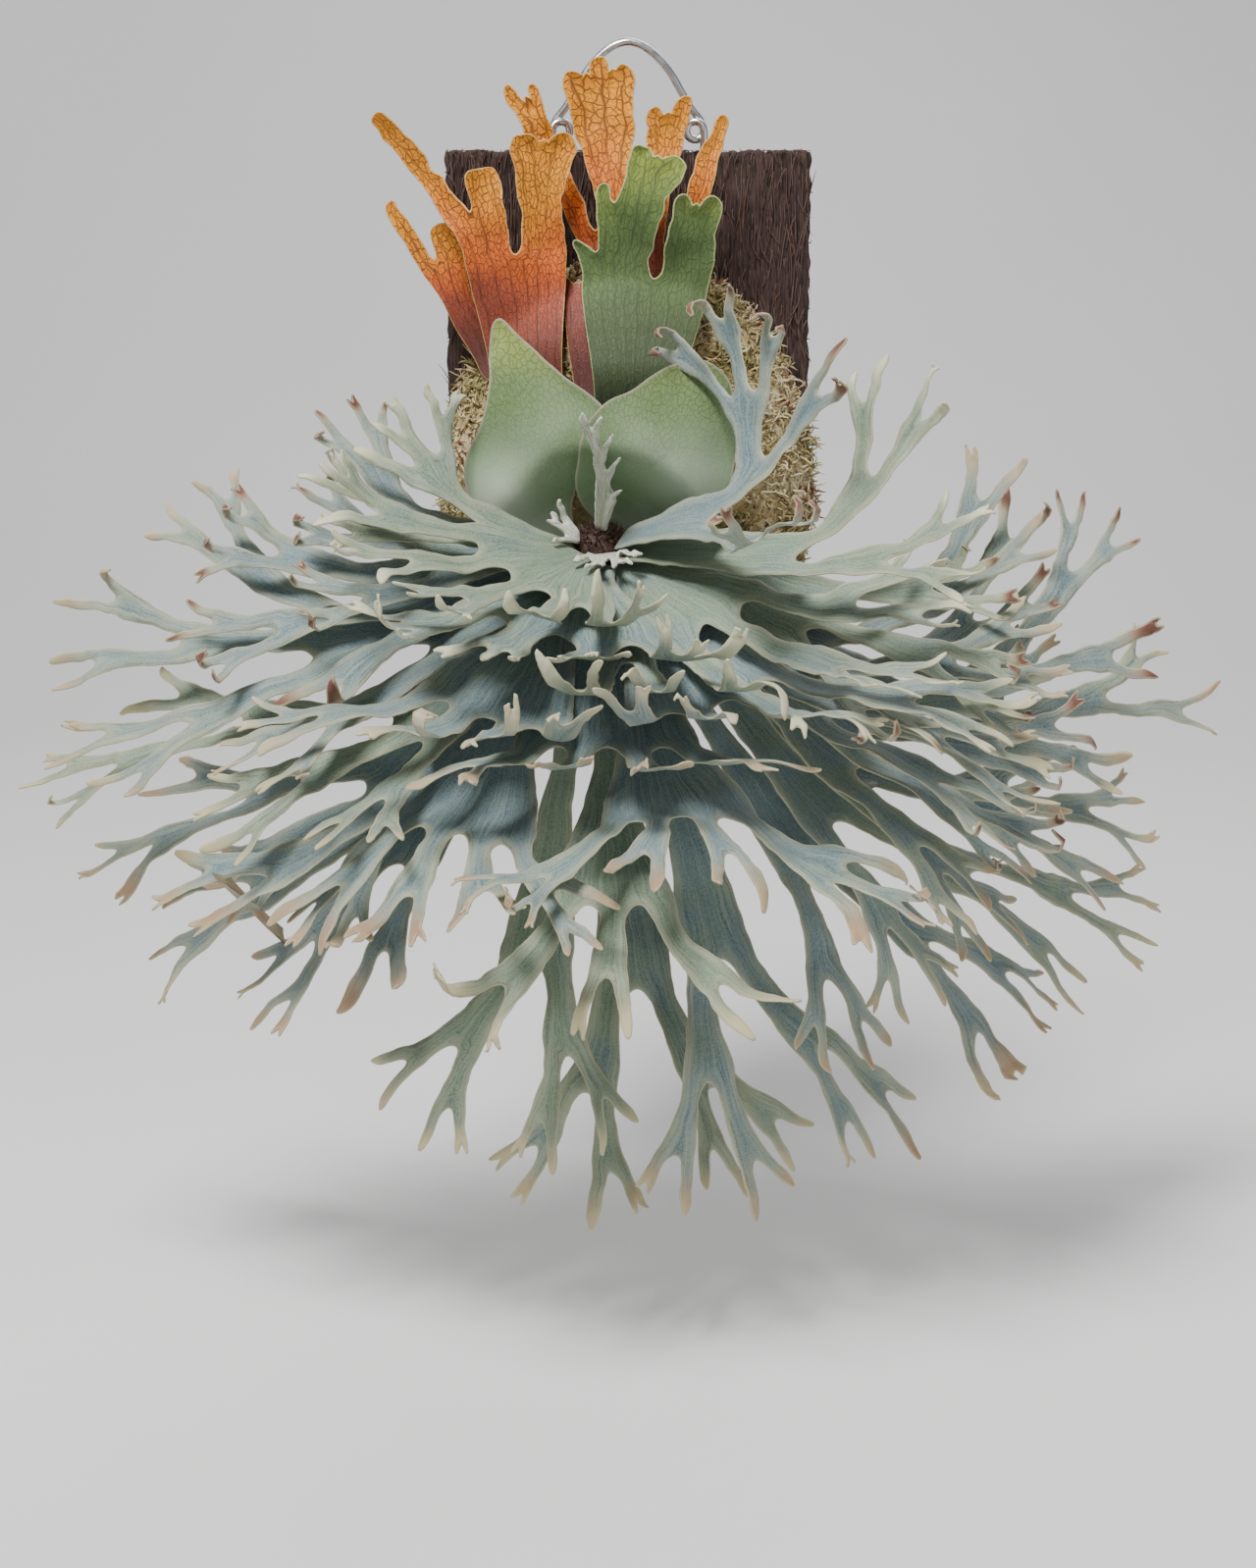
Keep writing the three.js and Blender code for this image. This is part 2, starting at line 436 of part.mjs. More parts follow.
// The mound's skin is lumpy, but never stands out past the smooth mound that the shields lie on.
function moss() {
  const rings = 9;
  const around = 30;
  const points = [];
  const triangles = [];
  for (let ring = 1; ring <= rings; ring++)
    for (let i = 0; i < around; i++) {
      const tilt = (ring / rings) * (Math.PI / 2);
      const turn = (i / around) * 2 * Math.PI;
      const x = MOSS.x + MOSS.halfWidth * Math.sin(tilt) * Math.cos(turn);
      const z = MOSS.z + MOSS.halfHeight * Math.sin(tilt) * Math.sin(turn);
      const lump = (MOSS.lump * (2 + Math.sin(5 * turn + 2 * ring) + Math.sin(9 * turn - 3 * ring))) / 4;
      const room = smooth(Math.hypot(x - RHIZOME.x, z - RHIZOME.z) / MOSS.evenRound - 1);
      points.push(vec(x, -(SLAB.depth + CLEARANCE + (MOSS.rise - lump * room) * Math.cos(tilt)), z));
    }
  const top = points.push(vec(MOSS.x, -(SLAB.depth + CLEARANCE + MOSS.rise), MOSS.z)) - 1;
  const back = points.push(vec(MOSS.x, -(SLAB.depth + CLEARANCE), MOSS.z)) - 1;
  for (let i = 0; i < around; i++) {
    const next = (i + 1) % around;
    triangles.push([top, i, next]);
    for (let ring = 0; ring < rings - 1; ring++) {
      const a = ring * around;
      triangles.push([a + i, a + around + i, a + around + next], [a + i, a + around + next, a + next]);
    }
    triangles.push([(rings - 1) * around + i, back, (rings - 1) * around + next]);
  }
  return triangleGeometry(points, triangles);
}

// The wire of the bail: from its hole in the slab up the face, once round its eye, and over in an arch.
function wirePath() {
  const face = -SLAB.depth - WIRE.standOff;
  const back = face + 2 * WIRE.radius + EYE.gap;
  const leg = [
    [WIRE.legX, -SLAB.depth + WIRE.holeDepth - 3, WIRE.legZ],
    [WIRE.legX, -SLAB.depth + 8, WIRE.legZ],
    [WIRE.legX, -SLAB.depth - 1, WIRE.legZ],
    [WIRE.legX, face + 1.4, WIRE.legZ + 1.6],
    [WIRE.legX, face, WIRE.legZ + 6],
    [WIRE.legX, face, WIRE.legZ + 25],
    [WIRE.legX, face, EYE.z - 12],
  ];
  const turns = 10;
  const eye = Array.from({ length: turns + 1 }, (_, i) => {
    const angle = (2 * Math.PI * i) / turns;
    const [x, z] = [EYE.x + EYE.radius * Math.cos(angle), EYE.z + EYE.radius * Math.sin(angle)];
    return [x, lerp(face, back, i / turns), z];
  });
  const rise = [[42, -44], [36.5, -37], [31, -28], [25, -18], [17, -8.5], [8.5, -2.2]];
  const arch = rise.map(([x, drop]) => [x, back, WIRE.top + drop]);
  const half = [...leg, ...eye, ...arch];
  const leftHalf = half.map(([x, y, z]) => vec(-x, y, z));
  const rightHalf = half.reverse().map(([x, y, z]) => vec(x, y, z));
  const apex = vec(0, back, WIRE.top);
  return new THREE.CatmullRomCurve3([...leftHalf, apex, ...rightHalf], false, "centripetal");
}

function bail() {
  const section = new THREE.Shape().absarc(0, 0, WIRE.radius, 0, 2 * Math.PI, false);
  return new THREE.ExtrudeGeometry(section, { steps: 96, curveSegments: 4, extrudePath: wirePath() });
}

function rhizomeWithStem() {
  const ball = new THREE.SphereGeometry(RHIZOME.radius, 18, 12).translate(...rhizome.toArray());
  const rim = Array.from({ length: 16 }, (_, i) => (2 * Math.PI * i) / 16);
  const highest = Math.max(
    ...rim.map((turn) =>
      mound(RHIZOME.x + RHIZOME.stemRadius * Math.cos(turn), RHIZOME.z + RHIZOME.stemRadius * Math.sin(turn)),
    ),
  );
  const stemLength = -(SLAB.depth + highest + 2 * CLEARANCE) - RHIZOME.y;
  const stem = new THREE.CylinderGeometry(RHIZOME.stemRadius, RHIZOME.stemRadius, stemLength, 16);
  stem.translate(RHIZOME.x, RHIZOME.y + stemLength / 2, RHIZOME.z);
  return toSolid(ball).add(toSolid(stem));
}

// ---------------------------------------------------------------- the assembly
const finish = (color, roughness, metalness = 0) =>
  new THREE.MeshStandardMaterial({ color, roughness, metalness });
const FINISHES = {
  fibre: finish("#3a2620", 0.95),
  moss: finish("#a8a070", 1),
  wire: finish("#c9cbd0", 0.3, 1),
  bud: finish("#5a4030", 0.9),
  felt: finish("#8fa8a0", 0.75),
  young: finish("#e8e4d4", 0.85),
  green: finish("#7f9a6c", 0.55),
  orange: finish("#d9793a", 0.55),
  brown: finish("#a89878", 0.8),
};

const part = new THREE.Group();

function place(name, geometry, material) {
  const mesh = new THREE.Mesh(geometry, material);
  mesh.name = name;
  part.add(mesh);
}

place("slab", toGeometry(slab()), FINISHES.fibre);
place("wire_bail", bail(), FINISHES.wire);
place("moss_mound", moss(), FINISHES.moss);
place("rhizome", toGeometry(rhizomeWithStem()), FINISHES.bud);
for (const shield of LOBED_SHIELDS) {
  place(shield.name, lobedShield(shield), shield.name.endsWith("green") ? FINISHES.green : FINISHES.orange);
}
for (const shield of ROUND_SHIELDS) {
  place(shield.name, roundShield(shield), shield.name.includes("old") ? FINISHES.brown : FINISHES.green);
}
for (const frond of FRONDS) {
  place(frond.name, antlerFrond(frond), frond.name.startsWith("young") ? FINISHES.young : FINISHES.felt);
}

export default part;
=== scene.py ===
"""The looks of a staghorn fern that grows on a slab of tree-fern fibre and hangs by a wire.

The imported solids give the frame. Each piece here stands for one of them, keeps its form and adds what grows
or lies on it: rounded lobes, waved blades, veins, felt, moss strands, fibres and hairs. Forms are worked out
in millimetres and written to the meshes in metres.
"""

import math
from collections import namedtuple

import bpy
import numpy as np
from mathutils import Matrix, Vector, noise


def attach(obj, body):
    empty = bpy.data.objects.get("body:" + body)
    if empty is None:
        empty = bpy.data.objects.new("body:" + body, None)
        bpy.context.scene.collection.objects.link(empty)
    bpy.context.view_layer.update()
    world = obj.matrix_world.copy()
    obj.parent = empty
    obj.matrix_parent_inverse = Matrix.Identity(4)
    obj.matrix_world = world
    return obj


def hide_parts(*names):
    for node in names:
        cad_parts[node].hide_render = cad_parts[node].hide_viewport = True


bl_info = {
    "name": "Mounted staghorn fern",
    "version": (1, 0, 0),
    "blender": (4, 5, 0),
    "location": "View3D > Sidebar > Fern",
    "description": "Builds a staghorn fern on its hanging slab, one piece at a time",
    "category": "Add Mesh",
}

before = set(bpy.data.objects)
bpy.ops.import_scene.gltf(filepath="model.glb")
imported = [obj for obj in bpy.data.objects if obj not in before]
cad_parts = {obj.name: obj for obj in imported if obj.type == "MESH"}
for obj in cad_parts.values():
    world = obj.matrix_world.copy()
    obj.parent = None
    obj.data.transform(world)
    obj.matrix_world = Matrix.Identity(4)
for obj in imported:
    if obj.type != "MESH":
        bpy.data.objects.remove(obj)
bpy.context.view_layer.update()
MM = 0.001

# ---------------------------------------------------------------- sizes, in millimetres
SLAB = {"width": 216, "height": 330, "depth": 28}
MOSS = {"x": 0, "z": -32, "half_width": 110, "half_height": 134, "rise": 62}
RHIZOME = np.array([-16.0, -108.0, -62.0])
RHIZOME_RADIUS = 16
STEM_RADIUS = 8
WIRE = {"radius": 2.3, "stand_off": 5.6, "leg_x": 44, "leg_z": 122, "hole_depth": 22}
WIRE_TOP = 225
EYE = {"x": 39, "z": 175, "radius": 5, "gap": 0.7}
CLEARANCE = 0.3

PETIOLE_WIDTH = 9
FLARE = 110  # stretch before a fork in which a strap widens into its palm
FORKED_TIP = 40  # tips as long as this end in a small fork
BOWL_TILT = 45  # how far the bowls' axis leans up from level, in degrees
DROOP = 0.07  # how much further a bowl opens with each mm, in degrees
# Where a bowl's side curls up, and by how many degrees: in front, more so on the inner bowls, and at the top.
CURL = {"start": 60, "length": 130}
FRONT_CURL = {"amount": 38, "spread": 50}
INNER_CURL = {"amount": 42, "from": 56, "over": 64}
TOP_CURL = {"amount": 36, "from": 60, "over": 70}
SAG = 50  # how far a frond has sunk at its full reach
FULL_REACH = 300

SKIRT = {"from": 0.8, "level": 0.35}  # how the surface over the mound levels off near its rim
FOOT_RISE = 50  # mm from its foot in which a lobed shield rises to its layer
ROUND_RISE = {"from": 12, "over": 55}  # the same for a round shield, from the rhizome
LEAN_FROM = 60  # height above which lobed shields lean forward
PILLOW = {"x": -10, "z": 0, "rise": 16, "half_width": 60, "half_height": 45}  # under the round shields
ROUND_LAYER = 20  # shields in a layer above this one swell over the pillow


def clamp(x):
    return np.clip(x, 0.0, 1.0)


def smooth(x):
    x = clamp(x)
    return x * x * (3 - 2 * x)


def field(places, wavelength, seed=0.0):
    """A smooth random value from about -1 to 1 at each place."""
    shift = Vector((seed * 17.3, seed * 5.1, -seed * 9.7))
    return np.array([noise.noise(Vector(p) / wavelength + shift) for p in places]) * 1.6


def ripples(places, *sorts):
    """Smooth random values added up, each sort given as its size, its wavelength and its seed."""
    return sum(size * field(places, wavelength, seed) for size, wavelength, seed in sorts)


def unit(vectors):
    """The same vectors, each one long."""
    return vectors / np.maximum(np.linalg.norm(vectors, axis=-1, keepdims=True), 1e-9)


def linear(code):
    """The linear colour of a hex code."""
    parts = [int(code[i:i + 2], 16) / 255 for i in (1, 3, 5)]
    return tuple(((p + 0.055) / 1.055) ** 2.4 if p > 0.04 else p / 12.92 for p in parts)


# ---------------------------------------------------------------- meshes
def new_mesh(name, points, quads, smooth_faces=True, **values):
    """A mesh of four-sided faces, in metres, with a value for each point under each name given."""
    mesh = bpy.data.meshes.new(name)
    mesh.vertices.add(len(points))
    mesh.vertices.foreach_set("co", (np.asarray(points) * MM).astype(np.float32).ravel())
    mesh.loops.add(4 * len(quads))
    mesh.loops.foreach_set("vertex_index", np.asarray(quads, np.int32).ravel())
    mesh.polygons.add(len(quads))
    mesh.polygons.foreach_set("loop_start", np.arange(0, 4 * len(quads), 4, dtype=np.int32))
    mesh.polygons.foreach_set("use_smooth", np.full(len(quads), smooth_faces))
    for key, value in values.items():
        value = np.asarray(value, np.float32)
        kind, slot = ("FLOAT", "value") if value.ndim == 1 else ("FLOAT_VECTOR", "vector")
        mesh.attributes.new(key, kind, "POINT").data.foreach_set(slot, value.ravel())
    mesh.update()
    mesh.validate()
    return mesh


def place_piece(name, mesh, material, slot, *nodes):
    """Puts a mesh in the scene as the piece that stands for these nodes."""
    piece = bpy.data.objects.new(name, mesh)
    bpy.context.scene.collection.objects.link(piece)
    mesh.materials.append(material)
    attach(piece, "root")
    if nodes:
        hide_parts(*nodes)
    return piece


def point_normals(points, quads):
    """The normal at each point of a sheet of four-sided faces."""
    corners = points[quads]
    faces = np.cross(corners[:, 2] - corners[:, 0], corners[:, 3] - corners[:, 1])
    normals = np.zeros_like(points)
    for corner in range(4):
        np.add.at(normals, quads[:, corner], faces)
    return unit(normals)


def rim_of(quads):
    """The edges that only one face has, each in that face's direction."""
    edges = np.concatenate([quads[:, [i, (i + 1) % 4]] for i in range(4)])
    seen = {tuple(edge) for edge in edges.tolist()}
    return np.array([edge for edge in edges.tolist() if (edge[1], edge[0]) not in seen])


RIM_BATCH = 800  # points measured at a time, to save memory


def distance_to_rim(flat, rim):
    """How far each point of a flat sheet lies from its rim."""
    start, end = flat[rim[:, 0]], flat[rim[:, 1]]
    run = end - start
    length2 = np.maximum((run ** 2).sum(1), 1e-9)
    nearest = np.empty(len(flat))
    for low in range(0, len(flat), RIM_BATCH):
        part = flat[low:low + RIM_BATCH, None, :] - start[None]
        share = clamp((part * run).sum(2) / length2)
        gap = part - share[..., None] * run
        nearest[low:low + RIM_BATCH] = np.sqrt((gap ** 2).sum(2).min(1))
    return nearest


def subdivided(points, faces, levels, **values):
    """The smooth form of a coarse sheet: its points, its four-sided faces and its values."""
    mesh = bpy.data.meshes.new("coarse")
    mesh.from_pydata([tuple(p) for p in points], [], faces)
    for key, value in values.items():
        mesh.attributes.new(key, "FLOAT", "POINT").data.foreach_set("value", np.asarray(value, np.float32))
    coarse = bpy.data.objects.new("coarse", mesh)
    bpy.context.scene.collection.objects.link(coarse)
    rounding = coarse.modifiers.new("rounding", "SUBSURF")
    rounding.levels = levels
    rounding.render_levels = levels
    fine = coarse.evaluated_get(bpy.context.evaluated_depsgraph_get()).to_mesh()
    out = np.empty(3 * len(fine.vertices), np.float32)
    fine.vertices.foreach_get("co", out)
    quads = np.empty(4 * len(fine.polygons), np.int32)
    fine.loops.foreach_get("vertex_index", quads)
    found = {}
    for key in values:
        value = np.empty(len(fine.vertices), np.float32)
        fine.attributes[key].data.foreach_get("value", value)
        found[key] = value.astype(float)
    bpy.data.objects.remove(coarse)
    bpy.data.meshes.remove(mesh)
    return out.reshape(-1, 3).astype(float), quads.reshape(-1, 4), found


def leaf_solid(name, sheet, quads, thickness, **values):
    """A blade with both its faces and its rim, from the middle sheet and a thickness at each point."""
    normals = point_normals(sheet, quads)
    half = normals * (thickness / 2)[:, None]
    count = len(sheet)
    rim = rim_of(quads)
    wall = np.stack([rim[:, 0], rim[:, 0] + count, rim[:, 1] + count, rim[:, 1]], axis=1)
    faces = np.concatenate([quads, quads[:, ::-1] + count, wall])
    both = {key: np.concatenate([value, value]) for key, value in values.items()}
    return new_mesh(name, np.concatenate([sheet + half, sheet - half]), faces, **both)


def grown(place, heading, length, steps, bend, random=None, wander=0.0, pull=0.0):
    """Paths that set off from each place on a heading, which bends, wanders and is pulled at each step."""
    path = [place]
    for _ in range(steps - 1):
        place = place + heading * (length / (steps - 1))[:, None]
        path.append(place)
        heading = heading + bend
        if wander:
            heading = heading + random.normal(0, wander, heading.shape) - pull
        heading = unit(heading)
    return np.stack(path, axis=1)


def strands(name, paths, radii, **values):
    """Many thin four-sided strands in one mesh. paths is strand by point by xyz, radii strand by point."""
    count, steps, _ = paths.shape
    along = unit(np.gradient(paths, axis=1))
    upright = np.abs(along[..., 2:]) >= 0.8
    across = unit(np.cross(along, np.where(upright, [[[1.0, 0.0, 0.0]]], [[[0.0, 0.0, 1.0]]])))
    other = np.cross(along, across)
    rings = np.stack([paths + radii[..., None] * side for side in (across, other, -across, -other)], axis=2)
    index = np.arange(count * steps * 4).reshape(count, steps, 4)
    walls = np.stack([index[:, :-1], np.roll(index[:, :-1], -1, axis=2),
                      np.roll(index[:, 1:], -1, axis=2), index[:, 1:]], axis=-1)
    faces = np.concatenate([walls.reshape(-1, 4), index[:, 0, ::-1], index[:, -1]])
    each = {key: np.repeat(value, steps * 4) for key, value in values.items()}
    each["along"] = np.tile(np.repeat(np.linspace(0, 1, steps), 4), count)
    return new_mesh(name, rings.reshape(-1, 3), faces, **each)


def tube_faces(rings, sides, inside_out=False):
    """The faces of a closed tube whose points lie ring by ring, with the middle of each end after them."""
    index = np.arange(rings * sides).reshape(rings, sides)
    beside = np.roll(index, -1, axis=1)
    walls = np.stack([index[:-1], beside[:-1], beside[1:], index[1:]], axis=-1).reshape(-1, 4)
    first, last = rings * sides, rings * sides + 1
    thirds = [(i, i + 1, (i + 2) % sides) for i in range(0, sides, 2)]
    ends = [[first, index[0, c], index[0, b], index[0, a]] for a, b, c in thirds]
    ends += [[last, index[-1, a], index[-1, b], index[-1, c]] for a, b, c in thirds]
    faces = np.concatenate([walls, ends])
    return faces[:, [0, 3, 2, 1]] if inside_out else faces


def swept_tube(name, path, radius, sides):
    """A closed round tube along a path, turned as little as its bends allow."""
    along = unit(np.gradient(path, axis=0))
    across = np.cross(along[0], [0.3, 0.1, 1.0])
    rings = []
    for place, direction in zip(path, along):
        across = across - direction * across.dot(direction)
        across /= np.linalg.norm(across)
        other = np.cross(direction, across)
        turns = np.linspace(0, 2 * math.pi, sides, endpoint=False)
        rings.append(place + radius * (np.outer(np.cos(turns), across) + np.outer(np.sin(turns), other)))
    points = np.concatenate(rings + [path[:1], path[-1:]])
    return new_mesh(name, points, tube_faces(len(path), sides))


# ---------------------------------------------------------------- forked blades in the flat
Strap = namedtuple("Strap", "length turn width forks gap")  # gap: to the next fork, if it isn't the usual one
# The small fork at the end of a long tip, and the knobs at the end of any tip, as shares of the tip.
TIP_FORK = {"from": 0.6, "lengths": (0.3, 0.42), "left": 20, "right": -24, "width": 0.62}
KNOB = {"turns": (14, 42), "shortest": 10, "size": 0.5}
WAVE_LENGTH = 18  # shorter forks than this are waves along the end of a lobe, or knobs
LEAST_SINUS = 2
SUBSTEPS = 4  # steps of the outline from one cross row to the next
TIP_ROWS = 0.55  # spacing of a tip's cross rows, as a share of the usual one
TURN_AT_START, TURN_BY_END = 0.55, 0.45  # shares of a strap's turn
TIP_FLARE, PALM_FLARE = 0.4, 0.8  # share of its length in which a strap widens
ROLLED = {"turn": 150, "spread": 40}
CURLED_TIP = 26  # the length of tip for which a style's curl is given
LONG_CURL = 1.6  # the most that a longer tip curls, as a multiple of it
CHANNEL_HALF = 8
VALUES = ("vein", "along", "tip", "lift", "back_x", "back_y")

# How blades are laid out. sinus: the gap between forks, as a share of their width. row and wide: how far
# apart points lie along and across a strap. curl, twist and sway: how far tips turn up, about their length
# and sideways, in degrees. rolled: the share of tips that roll up. channel: how far a strap's edges stand up.
# web: the share of a short fork's length that is filled between it and the next one. tip_share: how wide a
# tip is at its end.
Style = namedtuple("Style", "sinus row wide vein_gap curl rolled twist channel web tip_share sway")
ANTLER_STYLE = Style(sinus=0.8, row=11, wide=7, vein_gap=9, curl=30, rolled=0.015, twist=26, channel=0.8,
                     web=-0.6, tip_share=0.36, sway=16)
SHIELD_STYLE = Style(sinus=0.22, row=9, wide=7, vein_gap=9, curl=12, rolled=0.0, twist=9, channel=0.0,
                     web=0.8, tip_share=0.66, sway=0)


def strap(length, turn, width, *forks, gap=None):
    return Strap(length, turn, width, forks, gap)


def b(length, turn, width, *forks):
    """A branch of an antler frond: a strap whose long tips end in a small uneven fork."""
    if forks or length < FORKED_TIP:
        return strap(length, turn, width, *forks)
    left, right = TIP_FORK["lengths"] if turn >= 0 else reversed(TIP_FORK["lengths"])
    fork_width = TIP_FORK["width"] * width
    return strap(TIP_FORK["from"] * length, turn, width,
                 strap(left * length, TIP_FORK["left"], fork_width),
                 strap(right * length, TIP_FORK["right"], fork_width))


def is_tip(blade):
    """Whether a strap is a tip. The knobs on its end count as part of it."""
    return not blade.forks or blade.forks[0].gap is not None


def with_knobs(blade, random, plain):
    """The same blade, with two small uneven knobs on the end of every tip but a plain share of them."""
    if blade.forks:
        return blade._replace(forks=tuple(with_knobs(fork, random, plain) for fork in blade.forks))
    share, left, right = random.random(), random.uniform(*KNOB["turns"]), random.uniform(*KNOB["turns"])
    if share < plain or blade.length < KNOB["shortest"]:
        return blade
    knob = KNOB["size"] * blade.width
    return strap(blade.length - 0.6 * knob, blade.turn, blade.width,
                 strap(knob * (0.3 + share), left, knob, gap=0.45 * knob),
                 strap(knob * (2.0 - share), -right, 0.85 * knob, gap=0.0))


class Chart:
    """A blade in the flat: x runs out from its foot and y to its left.

    Each point also gets these values: the place of its vein from the blade's left edge to its right (0 to 1),
    how far it lies from the foot along the straps, how far it lies into the tip that it is on (0 to 1), and
    how far a curled tip is lifted off the blade there and drawn back towards its foot.
    """

    def __init__(self, seed, style):
        self.random = np.random.default_rng(seed)
        self.style = style
        self.points = []
        self.values = []
        self.faces = []
        self.tip_veins = []

    def sinus_between(self, first, second):
        if first.gap is not None:
            return first.gap
        return self.style.sinus * min(first.width, second.width) + LEAST_SINUS

    def end_width(self, blade):
        if not blade.forks:
            return self.style.tip_share * blade.width
        gaps = sum(self.sinus_between(a, c) for a, c in zip(blade.forks, blade.forks[1:]))
        return gaps + sum(fork.width for fork in blade.forks)

    def zip_rows(self, low, high):
        """Joins two cross rows with faces."""
        if len(low) == len(high):
            for i in range(len(low) - 1):
                self.faces.append((low[i], high[i], high[i + 1], low[i + 1]))
            return
        i = j = 0
        while i < len(low) - 1 or j < len(high) - 1:
            low_done = i == len(low) - 1
            low_share = (i + 0.5) / (len(low) - 1)
            high_share = (j + 0.5) / (len(high) - 1)
            if j < len(high) - 1 and (low_done or high_share <= low_share):
                self.faces.append((low[i], high[j], high[j + 1]))
                j += 1
            else:
                self.faces.append((low[i], high[j], low[i + 1]))
                i += 1

    def parts(self, width):
        return max(1, round(width / self.style.wide))

    def plain_cuts(self, width, span):
        """Where the points of a cross row lie: mm from its left end, mm set back, and vein."""
        parts = self.parts(width)
        return [(width * k / parts, 0.0, span[0] + (span[1] - span[0]) * k / parts) for k in range(parts + 1)]

    def fork_cuts(self, blade, spans):
        """The same for the row where a strap forks, with each fork's own stretch of the row."""
        cuts = []
        stretches = []
        used = 0.0
        for k, fork in enumerate(blade.forks):
            parts = self.parts(fork.width)
            low, high = spans[k]
            stretches.append((len(cuts), len(cuts) + parts + 1))
            cuts += [(used + fork.width * i / parts, 0.0, low + (high - low) * i / parts)
                     for i in range(parts + 1)]
            used += fork.width
            if k + 1 < len(blade.forks):
                after = blade.forks[k + 1]
                gap = self.sinus_between(fork, after)
                wave = max(fork.length, after.length) < WAVE_LENGTH
                notch = -self.style.web * min(fork.length, after.length) if wave else gap / 2
                cuts.append((used + gap / 2, notch, high))
                used += gap
        return cuts, stretches

    def curl_of(self, blade):
        """How far a tip turns up over its length, in degrees. Some tips of an old frond roll up."""
        draw, chance = self.random.normal(0.35, 1.0), self.random.random()
        if chance < self.style.rolled:
            return ROLLED["turn"] + ROLLED["spread"] * draw
        return draw * self.style.curl * min(LONG_CURL, blade.length / CURLED_TIP)

    def grow(self, blade, start_x, start_y, start_row, heading, span=(0.0, 1.0), gone=0.0, bend=None):
        """Lays out a strap from the row that it leaves, and all that it forks into."""
        tip = is_tip(blade)
        knob = bend is not None
        row_step = self.style.row * (TIP_ROWS if tip else 1)
        steps = SUBSTEPS * max(1 if tip else 2, round(blade.length / row_step))
        ends_at = self.end_width(blade)
        flare = TIP_FLARE * blade.length if tip else min(FLARE, PALM_FLARE * blade.length)
        edges = np.cumsum([0.0] + [fork.width for fork in blade.forks])
        edges = span[0] + (span[1] - span[0]) * edges / (edges[-1] or 1.0)
        spans = list(zip(edges, edges[1:]))
        full = self.curl_of(blade) if tip and not knob else 0.0
        sway = self.random.normal(0, 1.0) * self.style.sway if tip and not knob else 0.0
        twist = math.tan(math.radians(self.random.normal(0, 1.0) * self.style.twist))
        angle, lift, back = bend or (0.0, 0.0, 0.0)
        x, y, row = start_x, start_y, start_row
        for i in range(1, steps + 1):
            turned = TURN_AT_START + TURN_BY_END * (i - 0.5) / steps
            bearing = heading + blade.turn * turned + sway * ((i - 0.5) / steps) ** 2
            cos, sin = math.cos(math.radians(bearing)), math.sin(math.radians(bearing))
            x += blade.length / steps * cos
            y += blade.length / steps * sin
            share = i / steps
            if full:
                angle = math.radians(full) * share ** 1.6
            lift += blade.length / steps * math.sin(angle)
            back += blade.length / steps * (1 - math.cos(angle))
            if i % SUBSTEPS:
                continue
            left = blade.length * (1 - share)
            widened = smooth(1 - left / flare) if blade.forks else clamp(2 * share - 1) ** 2
            width = blade.width + (ends_at - blade.width) * widened
            into = 1.0 if knob else share if tip else 0.0
            if blade.forks and i == steps:
                cuts, stretches = self.fork_cuts(blade, spans)
            else:
                cuts = self.plain_cuts(width, span)
            next_row = []
            for across, notch, vein in cuts:
                side = width / 2 - across
                edge = min(abs(side), CHANNEL_HALF) / CHANNEL_HALF
                folded = twist * side * into + self.style.channel * edge ** 2
                self.points.append((x - sin * side - cos * notch, y + cos * side - sin * notch, 0.0))
                self.values.append((vein, gone + blade.length * share, into, lift + folded, back * cos,
                                    back * sin))
                next_row.append(len(self.points) - 1)
            self.zip_rows(row, next_row)
            row = next_row
        if tip and not knob:
            veins = max(1, round(blade.width / self.style.vein_gap))
            self.tip_veins += [span[0] + (span[1] - span[0]) * (k + 0.5) / veins for k in range(veins)]
        used = 0.0
        for k, fork in enumerate(blade.forks):
            out = ends_at / 2 - used - fork.width / 2
            low, high = stretches[k]
            self.grow(fork, x - sin * out, y + cos * out, row[low:high], bearing, spans[k],
                      gone + blade.length, (angle, lift, back) if tip else None)
            used += fork.width
            if k + 1 < len(blade.forks):
                used += self.sinus_between(fork, blade.forks[k + 1])

    def start(self, blade, x, width, heading):
        """The foot row, and all that grows from it."""
        row = []
        for across, _, vein in self.plain_cuts(width, (0.0, 1.0)):
            self.points.append((x, width / 2 - across, 0.0))
            self.values.append((vein, 0.0, 0.0, 0.0, 0.0, 0.0))
            row.append(len(self.points) - 1)
        self.grow(blade, x, 0.0, row, heading)

    def fine(self, levels):
        return subdivided(self.points, self.faces, levels, **dict(zip(VALUES, zip(*self.values))))


def palm_width(blade):
    """The width of all the straps that a blade ends in, which its veins are spread over."""
    return sum(palm_width(fork) for fork in blade.forks) if blade.forks else blade.width


def ribs(veins, tip_veins, spread, width):
    """How near each point is to a rib, where each tip has one or more."""
    gaps = np.abs(veins[:, None] - np.array(tip_veins)[None]) * spread
    return np.exp(-((gaps.min(axis=1) / width) ** 2))


# ---------------------------------------------------------------- antler fronds
AHEAD = np.array([0, -math.cos(math.radians(BOWL_TILT)), math.sin(math.radians(BOWL_TILT))])
BELOW = np.array([0, -math.sin(math.radians(BOWL_TILT)), -math.cos(math.radians(BOWL_TILT))])
RIGHT = np.array([1.0, 0.0, 0.0])
PROFILE_STEPS = 72


def bowl_profile(opened, r, curl):
    """How far from the axis, and along it, a sheet has come after r mm."""
    at = r[:, None] * (np.arange(PROFILE_STEPS) + 0.5) / PROFILE_STEPS
    turned = curl[:, None] * clamp((at - CURL["start"]) / CURL["length"]) ** 2
    angle = np.radians(opened + DROOP * at - turned)
    step = r / PROFILE_STEPS
    return np.sin(angle).sum(1) * step, np.cos(angle).sum(1) * step


